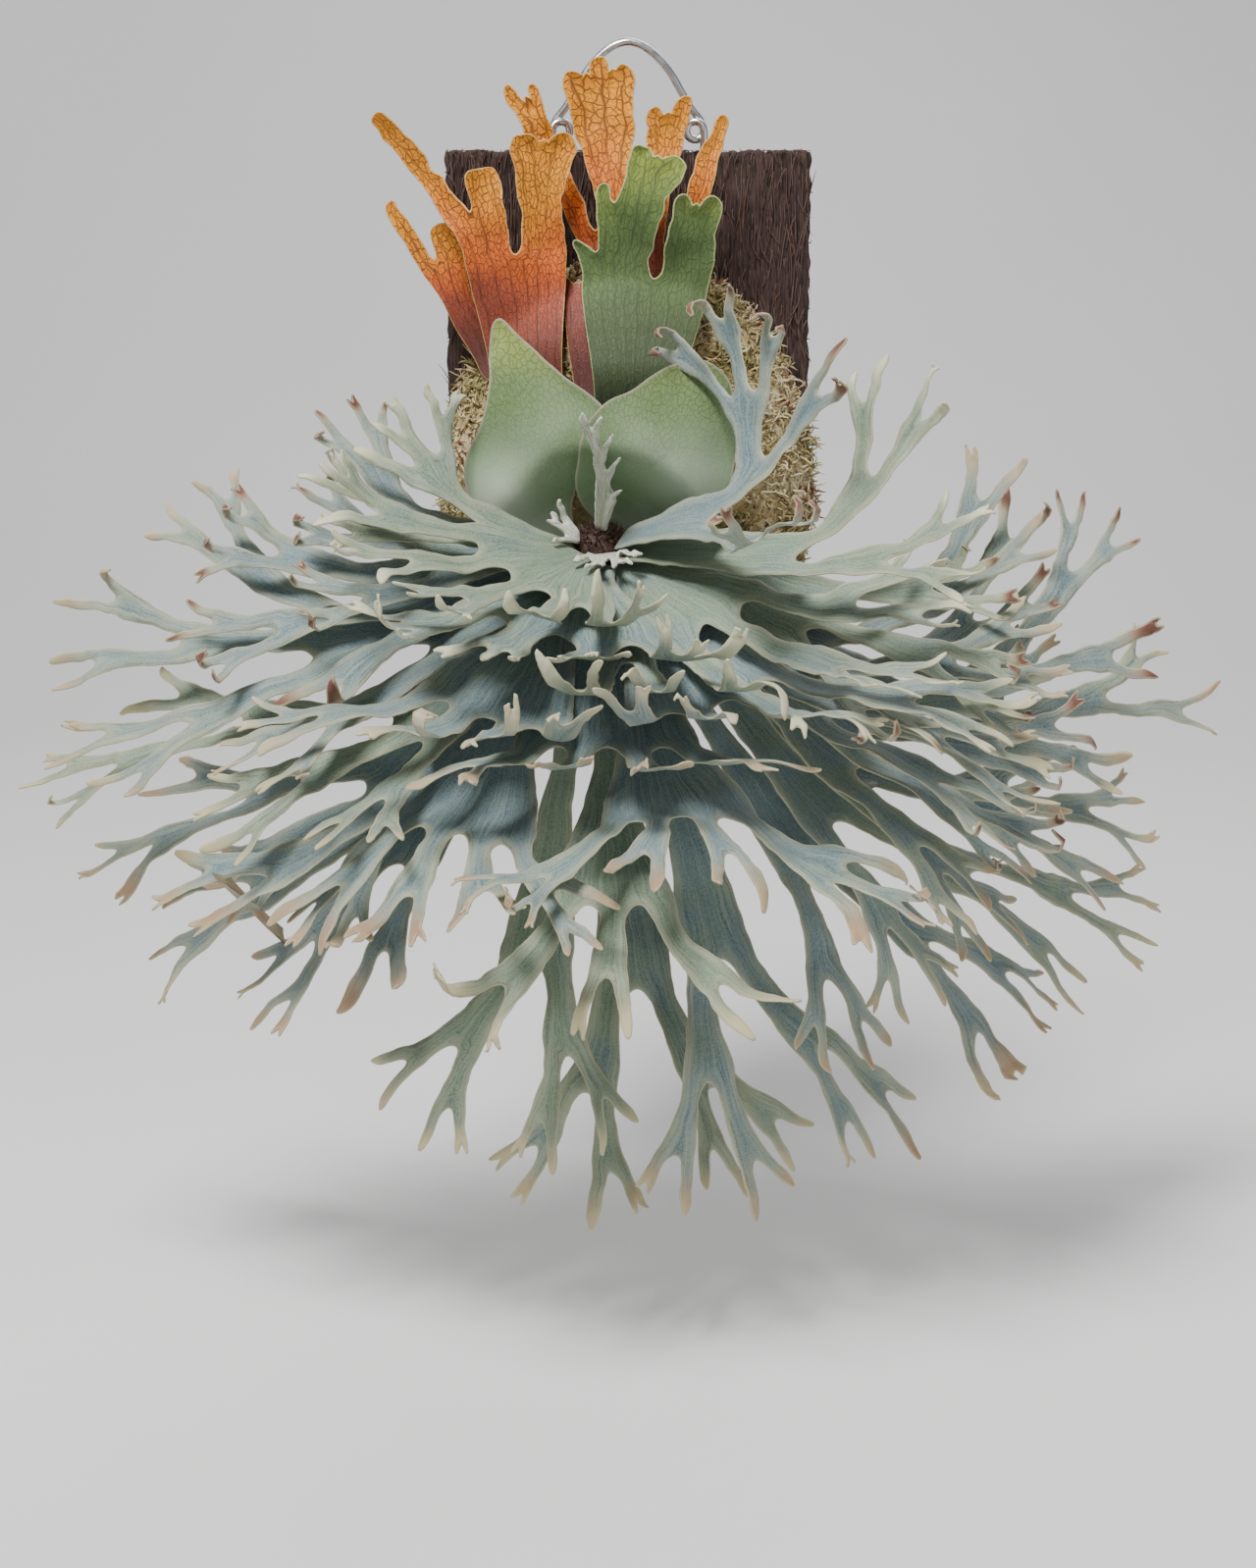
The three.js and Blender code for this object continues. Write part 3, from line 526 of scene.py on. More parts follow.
def place_on_bowl(bearing_of_frond, opened, flat):
    """The places on its bowl of the points of a flat frond."""
    r = np.hypot(flat[:, 0], flat[:, 1])
    flat_out, _ = bowl_profile(opened, r, np.zeros_like(r))
    bearing = bearing_of_frond - np.degrees(np.arctan2(flat[:, 1], flat[:, 0])) * r / flat_out
    inner = INNER_CURL["amount"] * (1 - smooth((opened - INNER_CURL["from"]) / INNER_CURL["over"]))
    front = (FRONT_CURL["amount"] + inner) * np.exp(-((bearing / FRONT_CURL["spread"]) ** 2))
    top = TOP_CURL["amount"] * smooth((np.abs(bearing) - TOP_CURL["from"]) / TOP_CURL["over"])
    out, along = bowl_profile(opened, r, front + top)
    turn = np.radians(bearing)
    places = (RHIZOME + along[:, None] * AHEAD + (out * np.cos(turn))[:, None] * BELOW
              + (out * np.sin(turn))[:, None] * RIGHT)
    places[:, 2] -= SAG * (np.linalg.norm(places - RHIZOME, axis=1) / FULL_REACH) ** 2
    return places


# Fronds: the bearing is in degrees from straight down towards the right, opened is the angle between the
# bowl's axis and its side.
Frond = namedtuple("Frond", "name bearing opened blade")
# Older fronds, some of whose tips have dried and rolled up.
OLD_FRONDS = ("antler_frond_right_1", "antler_frond_right_5", "antler_frond_right_6",
              "antler_frond_right_11", "antler_frond_left_3", "antler_frond_left_9")

FRONDS = [
    Frond("antler_frond_right_1", 64, 39, b(85, -4, 20, b(80, 34, 11, b(50, 25, 8), b(60, -30, 8)),
          b(40, -70, 16, b(90, 40, 11), b(35, -26, 18, b(60, 38, 9), b(85, 0, 10), b(70, -40, 9))))),
    Frond("antler_frond_right_2", 47, 53, b(130, -22, 18, b(60, -14, 12, b(55, 14, 8), b(60, -44, 8)),
          b(60, -78, 13, b(75, 22, 9), b(75, -14, 9)))),
    Frond("antler_frond_right_3", 34, 64, b(90, 5, 30, b(60, 52, 12, b(38, 20, 8), b(38, -30, 7)),
          b(65, 25, 12, b(35, 15, 7), b(30, -35, 8)), b(85, 0, 14, b(38, 22, 8), b(38, -28, 8)),
          b(90, -26, 14, b(55, 8, 8), b(60, -35, 8)), b(55, -60, 14, b(60, 4, 9), b(55, -44, 9)))),
    Frond("antler_frond_right_4", 38, 76, b(140, -25, 13, b(80, -10, 12, b(60, 15, 8), b(50, -25, 8)),
          b(75, -48, 12, b(60, 18, 7), b(65, -15, 8)), b(85, -84, 13, b(60, 30, 8), b(85, -5, 10)))),
    Frond("antler_frond_right_5", 42, 82, b(150, -20, 13, b(68, -4, 12, b(48, 30, 8), b(58, -20, 8)),
          b(68, -50, 12, b(40, 35, 8), b(63, -10, 8)), b(82, -82, 13, b(48, 24, 8), b(92, -6, 9)))),
    Frond("antler_frond_right_6", 48, 88, b(167, -16, 13, b(60, -2, 12, b(42, 25, 8), b(60, -20, 8)),
          b(65, -38, 12, b(46, 20, 8), b(74, -15, 8)), b(88, -70, 14, b(84, 22, 9), b(65, -16, 10,
          b(56, 10, 6), b(51, -20, 6))))),
    Frond("antler_frond_right_7", 46, 94, b(170, -14, 13, b(48, 10, 12, b(44, 20, 8), b(40, -25, 8)),
          b(61, -25, 12, b(44, 14, 8), b(52, -26, 8)), b(83, -66, 15, b(57, 40, 9), b(65, 10, 10,
          b(78, 10, 6), b(52, -30, 6)), b(48, -30, 8)))),
    Frond("antler_frond_right_8", 48, 100, b(181, -10, 13, b(52, 0, 12, b(40, 20, 8), b(52, -25, 8)),
          b(77, -50, 15, b(64, 34, 8), b(56, 0, 9, b(40, 26, 6), b(40, -16, 6)), b(56, -34, 8)))),
    Frond("antler_frond_right_9", 42, 106, b(178, -8, 13, b(54, 10, 12, b(40, 40, 8), b(40, -20, 8)),
          b(79, -42, 15, b(50, 32, 9, b(29, 30, 6), b(25, -14, 6)), b(75, -4, 9, b(54, 14, 6),
          b(58, -16, 6))))),
    Frond("antler_frond_right_10", 34, 112, b(189, -8, 13, b(47, 24, 12, b(40, 30, 8), b(40, -20, 8)),
          b(69, -34, 14, b(43, 40, 9, b(30, 30, 6), b(26, -14, 6)), b(52, -4, 9, b(30, 30, 6),
          b(43, -14, 6))))),
    Frond("antler_frond_right_11", 71, 73, b(125, 10, 13, b(60, 30, 12, b(50, 14, 8), b(45, -28, 8)),
          b(70, -8, 12, b(55, 18, 8), b(50, -20, 8)), b(55, -44, 12, b(40, 24, 8), b(40, -22, 8)))),
    Frond("antler_frond_left_1", -28, 50, b(76, 8, 32, b(52, 62, 14, b(43, 8, 10), b(36, -32, 8)),
          b(57, 34, 13, b(48, 8, 8), b(36, -30, 8)), b(57, 8, 13, b(43, 20, 8), b(43, -18, 8)),
          b(52, -22, 13, b(36, 26, 8), b(33, -30, 8)), b(57, -50, 13, b(36, 24, 8), b(46, -26, 8)))),
    Frond("antler_frond_left_2", -70, 57, b(66, 18, 12, b(45, 52, 12, b(41, 30, 8), b(41, -10, 9),
          b(31, -46, 7)), b(49, 8, 12, b(61, 20, 8), b(41, -22, 8)))),
    Frond("antler_frond_left_3", -66, 66, b(90, 18, 13, b(53, 70, 13, b(40, 10, 8), b(41, -32, 8)),
          b(45, 30, 12, b(41, 16, 8), b(40, -26, 8)), b(41, -14, 12, b(40, 40, 8), b(40, 0, 8)))),
    Frond("antler_frond_left_4", -44, 79, b(104, 20, 24, b(57, 26, 22, b(62, 50, 14, b(52, 22, 8),
          b(52, -14, 8)), b(76, 14, 14, b(76, 22, 8), b(71, -12, 8)), b(66, -20, 13, b(71, 22, 8),
          b(52, -22, 8))), b(71, -10, 13, b(57, 22, 8), b(48, -24, 8)))),
    Frond("antler_frond_left_5", -36, 85, b(141, 12, 14, b(75, 60, 14, b(75, 10, 9), b(66, -24, 8,
          b(52, 22, 6), b(40, -14, 6))), b(61, 22, 13, b(52, 22, 8), b(56, -16, 8)), b(47, -20, 12,
          b(42, 24, 8), b(40, -24, 8)))),
    Frond("antler_frond_left_6", -27, 91, b(185, -2, 22, b(55, 64, 14, b(55, 10, 11), b(35, -36, 8)),
          b(45, 28, 12, b(35, 24, 8), b(30, -28, 7)), b(45, -4, 12, b(30, 30, 8), b(30, -20, 7)),
          b(40, -34, 12, b(30, 30, 8), b(30, -20, 7)), b(45, -68, 12, b(40, 14, 8), b(30, -34, 7)))),
    Frond("antler_frond_left_7", -40, 98, b(166, 8, 13, b(62, 60, 13, b(62, 6, 9), b(50, -32, 8,
          b(42, 24, 6), b(25, -34, 6))), b(50, 22, 12, b(46, 20, 8), b(42, -20, 8)), b(37, -18, 12,
          b(40, 22, 8), b(40, -22, 8)))),
    Frond("antler_frond_left_8", -34, 105, b(185, 6, 13, b(66, 56, 13, b(57, 12, 9), b(40, -26, 9,
          b(26, 30, 6), b(22, -40, 6))), b(53, 16, 12, b(40, 22, 8), b(44, -20, 8)), b(40, -24, 12,
          b(31, 30, 8), b(26, -30, 8)))),
    Frond("antler_frond_left_9", -60, 73.5, b(115, 12, 13, b(60, 44, 13, b(50, 14, 8), b(45, -26, 8)),
          b(65, 8, 13, b(55, 18, 8), b(50, -22, 8)), b(45, -34, 12, b(38, 26, 8), b(35, -20, 8)))),
    Frond("antler_frond_front_1", -12, 58, b(95, 0, 30, b(45, 56, 18, b(25, 26, 8), b(28, 0, 7),
          b(22, -30, 7)), b(42, 22, 20, b(24, 26, 8), b(20, 0, 7), b(26, -28, 7)), b(42, -12, 20,
          b(22, 30, 8), b(26, 2, 7), b(24, -26, 8)), b(46, -48, 18, b(24, 26, 8), b(22, -4, 7),
          b(30, -32, 8)))),
    Frond("antler_frond_front_2", 27, 70, b(135, 0, 26, b(45, 46, 15, b(30, 24, 8), b(28, -24, 8)),
          b(42, 14, 15, b(28, 28, 8), b(28, -24, 8)), b(50, -22, 15, b(30, 28, 8), b(45, -18, 8)),
          b(75, -62, 14, b(50, 24, 8), b(60, -14, 9)))),
    Frond("antler_frond_front_3", -24, 72, b(140, 0, 24, b(60, 66, 14, b(40, 14, 8), b(35, -32, 8)),
          b(42, 26, 14, b(30, 22, 8), b(26, -30, 8)), b(38, -8, 14, b(26, 28, 8), b(28, -24, 8)),
          b(40, -42, 13, b(28, 28, 8), b(26, -24, 8)))),
    Frond("antler_frond_front_4", 2, 78, b(130, 0, 22, b(50, 56, 15, b(35, 24, 8), b(25, -30, 8)),
          b(38, 18, 15, b(24, 28, 8), b(26, -26, 8)), b(38, -18, 15, b(26, 26, 8), b(24, -28, 8)),
          b(50, -56, 14, b(28, 28, 8), b(38, -20, 8)))),
    Frond("antler_frond_front_5", 14, 88, b(175, 0, 14, b(65, 68, 13, b(45, 16, 8), b(40, -30, 7)),
          b(42, 30, 13, b(32, 26, 7), b(28, -30, 8)), b(40, -8, 13, b(26, 28, 7), b(30, -22, 7)),
          b(60, -54, 13, b(34, 40, 8), b(50, 0, 9), b(35, -36, 7)))),
    Frond("antler_frond_front_6", 2, 98, b(205, 0, 14, b(50, 52, 14, b(38, 18, 8), b(30, -34, 7)),
          b(40, 8, 14, b(26, 28, 7), b(30, -24, 7)), b(50, -46, 13, b(30, 34, 7), b(36, -16, 8)))),
    Frond("antler_frond_low_1", -14, 116, b(206, -4, 14, b(46, 36, 13, b(42, 24, 8), b(42, -30, 9)),
          b(42, -20, 13, b(46, 30, 8), b(42, -16, 8)))),
    Frond("antler_frond_low_2", 24, 119, b(209, 4, 14, b(53, 14, 14, b(53, 18, 9), b(58, -28, 9)),
          b(58, -38, 13, b(48, 30, 8), b(68, -4, 9)))),
    Frond("antler_frond_low_3", 4, 126, b(214, -2, 14, b(48, 22, 14, b(48, 20, 9), b(52, -26, 9)),
          b(52, -30, 13, b(43, 30, 8), b(48, -16, 9)))),
    Frond("young_frond_upright", 166, 11, b(34, 6, 9, b(9, 52, 3), b(17, -6, 8, b(9, 46, 3), b(15, -4, 7,
          b(8, 44, 3), b(13, -4, 6, b(7, 30, 3), b(11, -8, 4)))))),
    Frond("young_frond_folded", -90, 42, b(16, 0, 8, b(9, 44, 4), b(10, 4, 5), b(9, -40, 4))),
    Frond("young_frond_fan", 8, 43, b(22, 0, 8, b(10, 40, 4), b(13, 14, 4, b(7, 24, 3), b(6, -24, 3)),
          b(12, -12, 4, b(6, 24, 3), b(7, -24, 3)), b(10, -38, 4))),
]


def bowl_normals(one, flat):
    """The way that a frond's bowl faces at each point of the flat frond."""
    here = place_on_bowl(one.bearing, one.opened, flat)
    ahead = place_on_bowl(one.bearing, one.opened, flat + [0.5, 0, 0])
    aside = place_on_bowl(one.bearing, one.opened, flat - [0, 0.5, 0])
    normals = np.cross(ahead - here, aside - here)
    return here, unit(normals)


OLD_ROLLED = 0.4  # share of an old frond's tips that roll up
PLAIN_TIPS = {"front": 0.3, "other": 0.62}  # share of the tips that end without knobs
STIFF = {"from": 30, "over": 40}  # near its foot a blade neither wanders nor ruffles
# Ruffles along a blade's rim: their height, their wavelength and how far in from the rim they reach.
EDGE_RUFFLE = {"size": 1.6, "wavelength": 15, "depth": 4}
YOUNG_RUFFLE = {"size": 2.6, "wavelength": 6, "depth": 1.6, "from": 20, "over": 14}
BLADE_WAVES = {"from": 25, "over": 150}  # reach over which a blade's long waves grow
RIB = {"width": 1.1, "height": 0.25}
THICKER = {"foot": 0.5, "from": 20, "over": 60, "tip": 0.35, "tip_edge": 0.6}  # at its foot and its tips
BLADE_EDGE = 2.4  # mm from the rim in which a blade thins to its edge
YOUNG_FELT = 0.5  # thickness of the felt that a young frond adds
FRESH = {"below": 84, "over": 26}  # how far open a bowl is whose tips are still fresh


def antler_mesh(settings, one, seed):
    """The mesh of an antler frond or a young frond."""
    young = one.name.startswith("young")
    old = one.name in OLD_FRONDS
    style = ANTLER_STYLE._replace(curl=settings.tip_curl, twist=settings.tip_twist)
    chart = Chart(seed, style._replace(rolled=OLD_ROLLED) if old else style)
    plain = PLAIN_TIPS["front" if one.name.startswith("antler_frond_front") else "other"]
    blade = with_knobs(one.blade, np.random.default_rng(seed + 500), plain)
    chart.start(blade, RHIZOME_RADIUS + CLEARANCE, PETIOLE_WIDTH, 0.0)
    flat, quads, values = chart.fine(2)
    spread = palm_width(blade)
    reach = np.hypot(flat[:, 0], flat[:, 1])
    away = smooth((reach - STIFF["from"]) / STIFF["over"])
    for axis in (0, 1):
        flat[:, axis] += ripples(flat, (1.0, 22, seed + 50 * axis), (0.5, 7, seed + 60 * axis)) * away
    margin = distance_to_rim(flat[:, :2], rim_of(quads))
    curled = flat - np.stack([values["back_x"], values["back_y"], np.zeros(len(flat))], axis=1)
    sheet, normals = bowl_normals(one, curled)
    waves = (settings.ruffle / MM) * ripples(sheet, (1.0, 85, 0.0), (0.45, 34, seed))
    kind = YOUNG_RUFFLE if young else EDGE_RUFFLE
    if young:
        away = smooth((reach - kind["from"]) / kind["over"])
    at_rim = np.exp(-margin / kind["depth"])
    ruffled = kind["size"] * field(flat, kind["wavelength"], seed + 7) * at_rim * away
    swell = smooth((reach - BLADE_WAVES["from"]) / BLADE_WAVES["over"])
    sheet = sheet + normals * (values["lift"] + ruffled + waves * swell)[:, None]
    rib = ribs(values["vein"], chart.tip_veins, spread, RIB["width"])
    at_foot = 1 - smooth((reach - THICKER["from"]) / THICKER["over"])
    thicker = 1.0 + THICKER["foot"] * at_foot + THICKER["tip"] * values["tip"]
    full = settings.blade_thickness / MM * thicker
    edge = settings.margin_thickness / MM * (1 + THICKER["tip_edge"] * values["tip"])
    thickness = edge + (full - edge) * smooth(margin / BLADE_EDGE) + RIB["height"] * rib
    if young:
        thickness = thickness + YOUNG_FELT
    tone = np.full(len(sheet), np.random.default_rng(seed).random())
    flow = np.stack([values["vein"] * spread, values["along"], tone * 40], axis=1)
    age = np.full(len(sheet), float(old))
    fresh = np.full(len(sheet), float(smooth((FRESH["below"] - one.opened) / FRESH["over"])) * (not old))
    return leaf_solid(one.name + "_blade", sheet, quads, thickness, margin=margin, flow=flow,
                      tip=values["tip"], tone=tone, reach=reach / FULL_REACH, age=age, fresh=fresh)


# ---------------------------------------------------------------- shield fronds
def mound(x, z):
    """How far the mound stands out from the slab at (x, z), eased off near its rim and past it."""
    e = ((x - MOSS["x"]) / MOSS["half_width"]) ** 2 + ((z - MOSS["z"]) / MOSS["half_height"]) ** 2
    edge = math.sqrt(1 - SKIRT["from"])
    fall = edge - SKIRT["level"]
    past = np.maximum(e, SKIRT["from"]) - SKIRT["from"]
    skirt = SKIRT["level"] + fall * np.exp(-past / (2 * edge * fall))
    return MOSS["rise"] * np.where(e < SKIRT["from"], np.sqrt(np.maximum(1 - e, 0)), skirt)


def over_moss(x, z, lift):
    return np.stack([x, -(SLAB["depth"] + mound(x, z) + lift), z], axis=1)


LobedShield = namedtuple("LobedShield", "name x z foot heading seat layer lean blade")
LOBED_SHIELDS = [
    LobedShield("shield_frond_back", -7, 22, 50, 0, 0.9, 6, 0.04,
                strap(36, 0, 48, strap(29, 6, 15, strap(5, 14, 8), strap(4, -16, 7)), strap(38, -2, 36,
                      strap(26, 14, 20, strap(74, 14, 12, strap(15, 8, 7), strap(9, -14, 6)), strap(81,
                      -6, 22, strap(5, 12, 11), strap(9, 0, 11), strap(4, -10, 10))), strap(16, -6, 24,
                      strap(70, -2, 17, strap(5, 14, 10), strap(13, -12, 10)), strap(77, -15, 12))))),
    LobedShield("shield_frond_low_left", -76, 32, 14, 15, 1.3, 4, 0.1,
                strap(44, 4, 17, strap(36, 4, 17, strap(38, 14, 9), strap(16, -4, 15)), strap(30, -8, 9))),
    LobedShield("shield_frond_left", -57, 12, 40, 1, 1.05, 12, 0.14,
                strap(97, 5, 42, strap(26, 12, 26, strap(68, 26, 12), strap(19, -4, 20)), strap(57, -9,
                      24, strap(5, 12, 15), strap(5, -10, 15)))),
    LobedShield("shield_frond_green", 3, -4, 44, -1, 0.5, 18, 0.16,
                strap(99, -4, 47, strap(12, 8, 38, strap(8, 44, 8), strap(25, -14, 32, strap(8, 20, 9),
                      strap(27, -12, 26, strap(5, 12, 14), strap(5, -14, 15)))), strap(38, -8, 27,
                      strap(5, 6, 11), strap(9, -16, 12)))),
]

RoundShield = namedtuple("RoundShield", "name seat layer centre outline")
ROUND_SHIELDS = [
    RoundShield("shield_frond_old_left", 1.55, 0, (-72, -36),
                [(-50, -30), (-54, -14), (-70, -6), (-88, -12), (-99, -30), (-96, -50), (-84, -62),
                 (-66, -64), (-54, -50)]),
    RoundShield("shield_frond_old_right", 1.2, 0, (52, 6),
                [(33, 4), (38, -12), (52, -18), (66, -10), (71, 8), (66, 22), (52, 28), (38, 20)]),
    RoundShield("shield_frond_round_left", 0.6, 24, (-58, -4),
                [(-28, -52), (-34, -37), (-27, -20), (-15, -4), (-9, 12), (-14, 24), (-28, 33), (-44, 44),
                 (-60, 56), (-72, 71), (-79, 66), (-80, 44), (-79, 22), (-86, 4), (-95, -12), (-94, -32),
                 (-84, -50), (-66, -63), (-46, -65)]),
    RoundShield("shield_frond_round_right", 0.95, 36, (18, -8),
                [(-4, -60), (-14, -46), (-24, -42), (-31, -26), (-28, -4), (-26, 10), (-17, 24), (0, 30),
                 (12, 39), (28, 46), (42, 49), (54, 42), (61, 28), (63, 6), (60, -18), (53, -34), (40, -48),
                 (20, -62)]),
]


# Where a shield's points lie, its rim's edges, and how far each point is lifted off the moss.
Cover = namedtuple("Cover", "x z rim lift")
# Where the round shields belly out: x, z, radius and rise.
CHEEKS = ((-74, -30, 22, 10), (-52, 8, 24, 6), (-44, -46, 20, 4),
          (34, -22, 28, 9), (6, 8, 22, 5), (44, 22, 16, 4))
RAGGED = {"from": 60, "over": 60}  # mm along a lobed shield where its edge starts to wander
CUPPED = {"rise": 3.2, "depth": 4}  # how a lobed shield's rim turns forward
FLARED = {"rise": 3.4, "depth": 6, "from": -10, "over": 30}  # the same for a round one, above a height
SHIELD_EDGE = 3  # mm from the rim in which a shield thins to its edge
SHIELD_RIB = {"width": 0.5, "height": 0.3, "from": 1, "over": 3}
LOBE_WAVES = {"from": 55, "over": 60}
SHELL_WOBBLE = {"size": 0.9, "wavelength": 16}
CHEEK_BLOOM = {"most": 0.8, "full": 10, "from": -10, "over": 40}
FLOW_STEP = 131.0  # sets the shields' veins apart from each other


def shield_waves(x, z):
    """How far all the shields' lobes bend forward together at (x, z)."""
    flat = np.stack([x, z, np.zeros_like(x)], axis=1)
    return ripples(flat, (5, 60, 3), (1.2, 20, 4)) * smooth((z - LOBE_WAVES["from"]) / LOBE_WAVES["over"])


def shield_blade(settings, margin):
    """How thick a shield is at each distance from its rim."""
    edge = settings.margin_thickness / MM
    return edge + (settings.shield_thickness / MM - edge) * smooth(margin / SHIELD_EDGE)


def lobed_shield_mesh(settings, one, seed):
    """The mesh of a shield frond that stands up in lobes."""
    chart = Chart(seed, SHIELD_STYLE)
    chart.start(one.blade, 0.0, one.foot, one.heading)
    points, quads, values = chart.fine(3)
    ragged = smooth((values["along"] - RAGGED["from"]) / RAGGED["over"])
    wander = np.stack([ripples(points, (1.1, 9, seed), (1.8, 30, seed + 9)),
                       ripples(points, (1.1, 9, seed + 50), (1.8, 30, seed + 70))], axis=1)
    points[:, :2] += wander * ragged[:, None]
    margin = distance_to_rim(points[:, :2], rim_of(quads))
    spread = palm_width(one.blade)
    aside = ripples(points, (1.5, 26, seed + 21), (0.5, 9, seed + 22)) / spread
    rib = ribs(values["vein"] + aside, chart.tip_veins, spread, SHIELD_RIB["width"])
    rib = rib * smooth((margin - SHIELD_RIB["from"]) / SHIELD_RIB["over"])
    x = one.x - points[:, 1]
    z = one.z + points[:, 0]
    lean = one.lean * np.maximum(0, z - LEAN_FROM)
    lift = one.seat + one.layer * smooth(points[:, 0] / FOOT_RISE) + lean
    cupped = CUPPED["rise"] * np.exp(-margin / CUPPED["depth"]) * ragged
    sheet = over_moss(x, z, lift + values["lift"] + shield_waves(x, z) + cupped)
    thickness = shield_blade(settings, margin) + SHIELD_RIB["height"] * rib
    flow = np.stack([values["vein"] * spread + seed * FLOW_STEP, values["along"], np.zeros(len(x))], axis=1)
    height = (z - z.min()) / (z.max() - z.min()) + 0.06 * field(points, 26, seed + 3)
    mesh = leaf_solid(one.name + "_blade", sheet, quads, thickness, margin=margin, flow=flow, rib=rib,
                      height=height)
    return mesh, Cover(x, z, rim_of(quads), lift)


RINGS = (1, 0.9, 0.75, 0.55, 0.28)  # sizes of the rings of points that a round shield starts from


def shell_faces(around):
    """The faces of a sheet of rings with a point in the middle."""
    faces = []
    for ring in range(len(RINGS)):
        for i in range(around):
            low, j = ring * around, (i + 1) % around
            if ring == len(RINGS) - 1:
                faces.append((low + i, low + j, low + around))
            else:
                faces.append((low + i, low + j, low + around + j, low + around + i))
    return faces


def round_shield_mesh(settings, one, seed):
    """The mesh of a round shield frond, which lies over the mound like a shell."""
    centre = np.array(one.centre, float)
    outline = np.array(one.outline, float)
    flat = np.concatenate([centre + (outline - centre) * share for share in RINGS] + [centre[None]])
    flat = np.column_stack([flat, np.zeros(len(flat))])
    points, quads, _ = subdivided(flat, shell_faces(len(outline)), 3)
    wobble = np.stack([field(points, SHELL_WOBBLE["wavelength"], at) for at in (seed, seed + 50)], axis=1)
    points[:, :2] += wobble * SHELL_WOBBLE["size"]
    margin = distance_to_rim(points[:, :2], rim_of(quads))
    x, z = points[:, 0], points[:, 1]
    away = np.hypot(x - RHIZOME[0], z - RHIZOME[2])
    out = smooth((away - ROUND_RISE["from"]) / ROUND_RISE["over"])
    off = ((x - PILLOW["x"]) / PILLOW["half_width"]) ** 2 + ((z - PILLOW["z"]) / PILLOW["half_height"]) ** 2
    upper = one.layer > ROUND_LAYER
    swell = PILLOW["rise"] * np.exp(-off) if upper else 0.0
    cheek = sum(rise * np.exp(-((x - cx) / wide) ** 2 - ((z - cz) / wide) ** 2)
                for cx, cz, wide, rise in CHEEKS) * upper
    soft = cheek + ripples(points, (2.0, 38, seed), (0.4, 14, seed + 5)) * out * upper
    high = smooth((z - FLARED["from"]) / FLARED["over"])
    flared = (FLARED["rise"] * np.exp(-margin / FLARED["depth"]) * high + 0.6 * np.exp(-margin / 2)) * upper
    sheet = over_moss(x, z, one.seat + (one.layer + swell) * out + soft + flared)
    turn = np.arctan2(x - RHIZOME[0], z - RHIZOME[2])
    flow = np.stack([turn * 55 + seed * FLOW_STEP, away, np.zeros(len(x))], axis=1)
    low = smooth(1 - (z - CHEEK_BLOOM["from"]) / CHEEK_BLOOM["over"])
    bloom = CHEEK_BLOOM["most"] * clamp(cheek / CHEEK_BLOOM["full"]) ** 1.5 * low
    mesh = leaf_solid(one.name + "_blade", sheet, quads[:, ::-1], shield_blade(settings, margin),
                      margin=margin, flow=flow, bloom=bloom, height=(z + 60) / 130)
    return mesh, Cover(x, z, rim_of(quads), (one.layer + swell) * out)


# ---------------------------------------------------------------- moss, slab, wire and rhizome
STRAND_ROOM = 9  # clearance under a shield that strands of moss need
STRAND_TAPER = np.array([0.8, 1, 1, 0.95, 0.8, 0.6, 0.3])
FIBRE_TAPER = np.array([0.5, 1, 1, 0.9, 0.7, 0.35])
HAIR_TAPER = np.array([1, 1, 0.8, 0.5, 0.12])
MOSS_RINGS, MOSS_AROUND = 56, 150
LUMPS = ((1.6, 17, 1), (0.8, 6, 2))  # size, wavelength and seed of the hollows in the moss
LEAST_SUNK = 1.2
TRIED = 3  # places tried for each strand, as many lie under a shield
RHIZOME_ROOM = 26
STRAND = {"rooted": 3, "outward": 0.7, "spread": 0.85, "bend": 0.8, "wander": 0.45, "pull": 0.2,
          "thin": 0.42, "thicker": 0.4}
MOSS_TONE = {"wavelength": 24, "seed": 6, "patchy": 0.35, "mixed": 0.22}


def covered(x, z, cover):
    """Which of the places (x, z) lie under a shield that leaves no room there for strands of moss."""
    x1, z1, x2, z2 = (values[ends] for ends in cover.rim.T for values in (cover.x, cover.z))
    crosses = (z1 > z[:, None]) != (z2 > z[:, None])
    at = x1 + (z[:, None] - z1) * (x2 - x1) / np.where(np.abs(z2 - z1) < 1e-9, 1e-9, z2 - z1)
    under = (crosses & (x[:, None] < at)).sum(axis=1) % 2 == 1
    some = slice(None, None, 1 + len(cover.x) // 400)
    gaps = (x[:, None] - cover.x[some]) ** 2 + (z[:, None] - cover.z[some]) ** 2
    return under & (cover.lift[some][gaps.argmin(axis=1)] < STRAND_ROOM)


def on_mound(tilt, turn):
    """Where, seen from the front, a direction from the mound's middle meets the mound."""
    return (MOSS["x"] + MOSS["half_width"] * np.sin(tilt) * np.cos(turn),
            MOSS["z"] + MOSS["half_height"] * np.sin(tilt) * np.sin(turn))


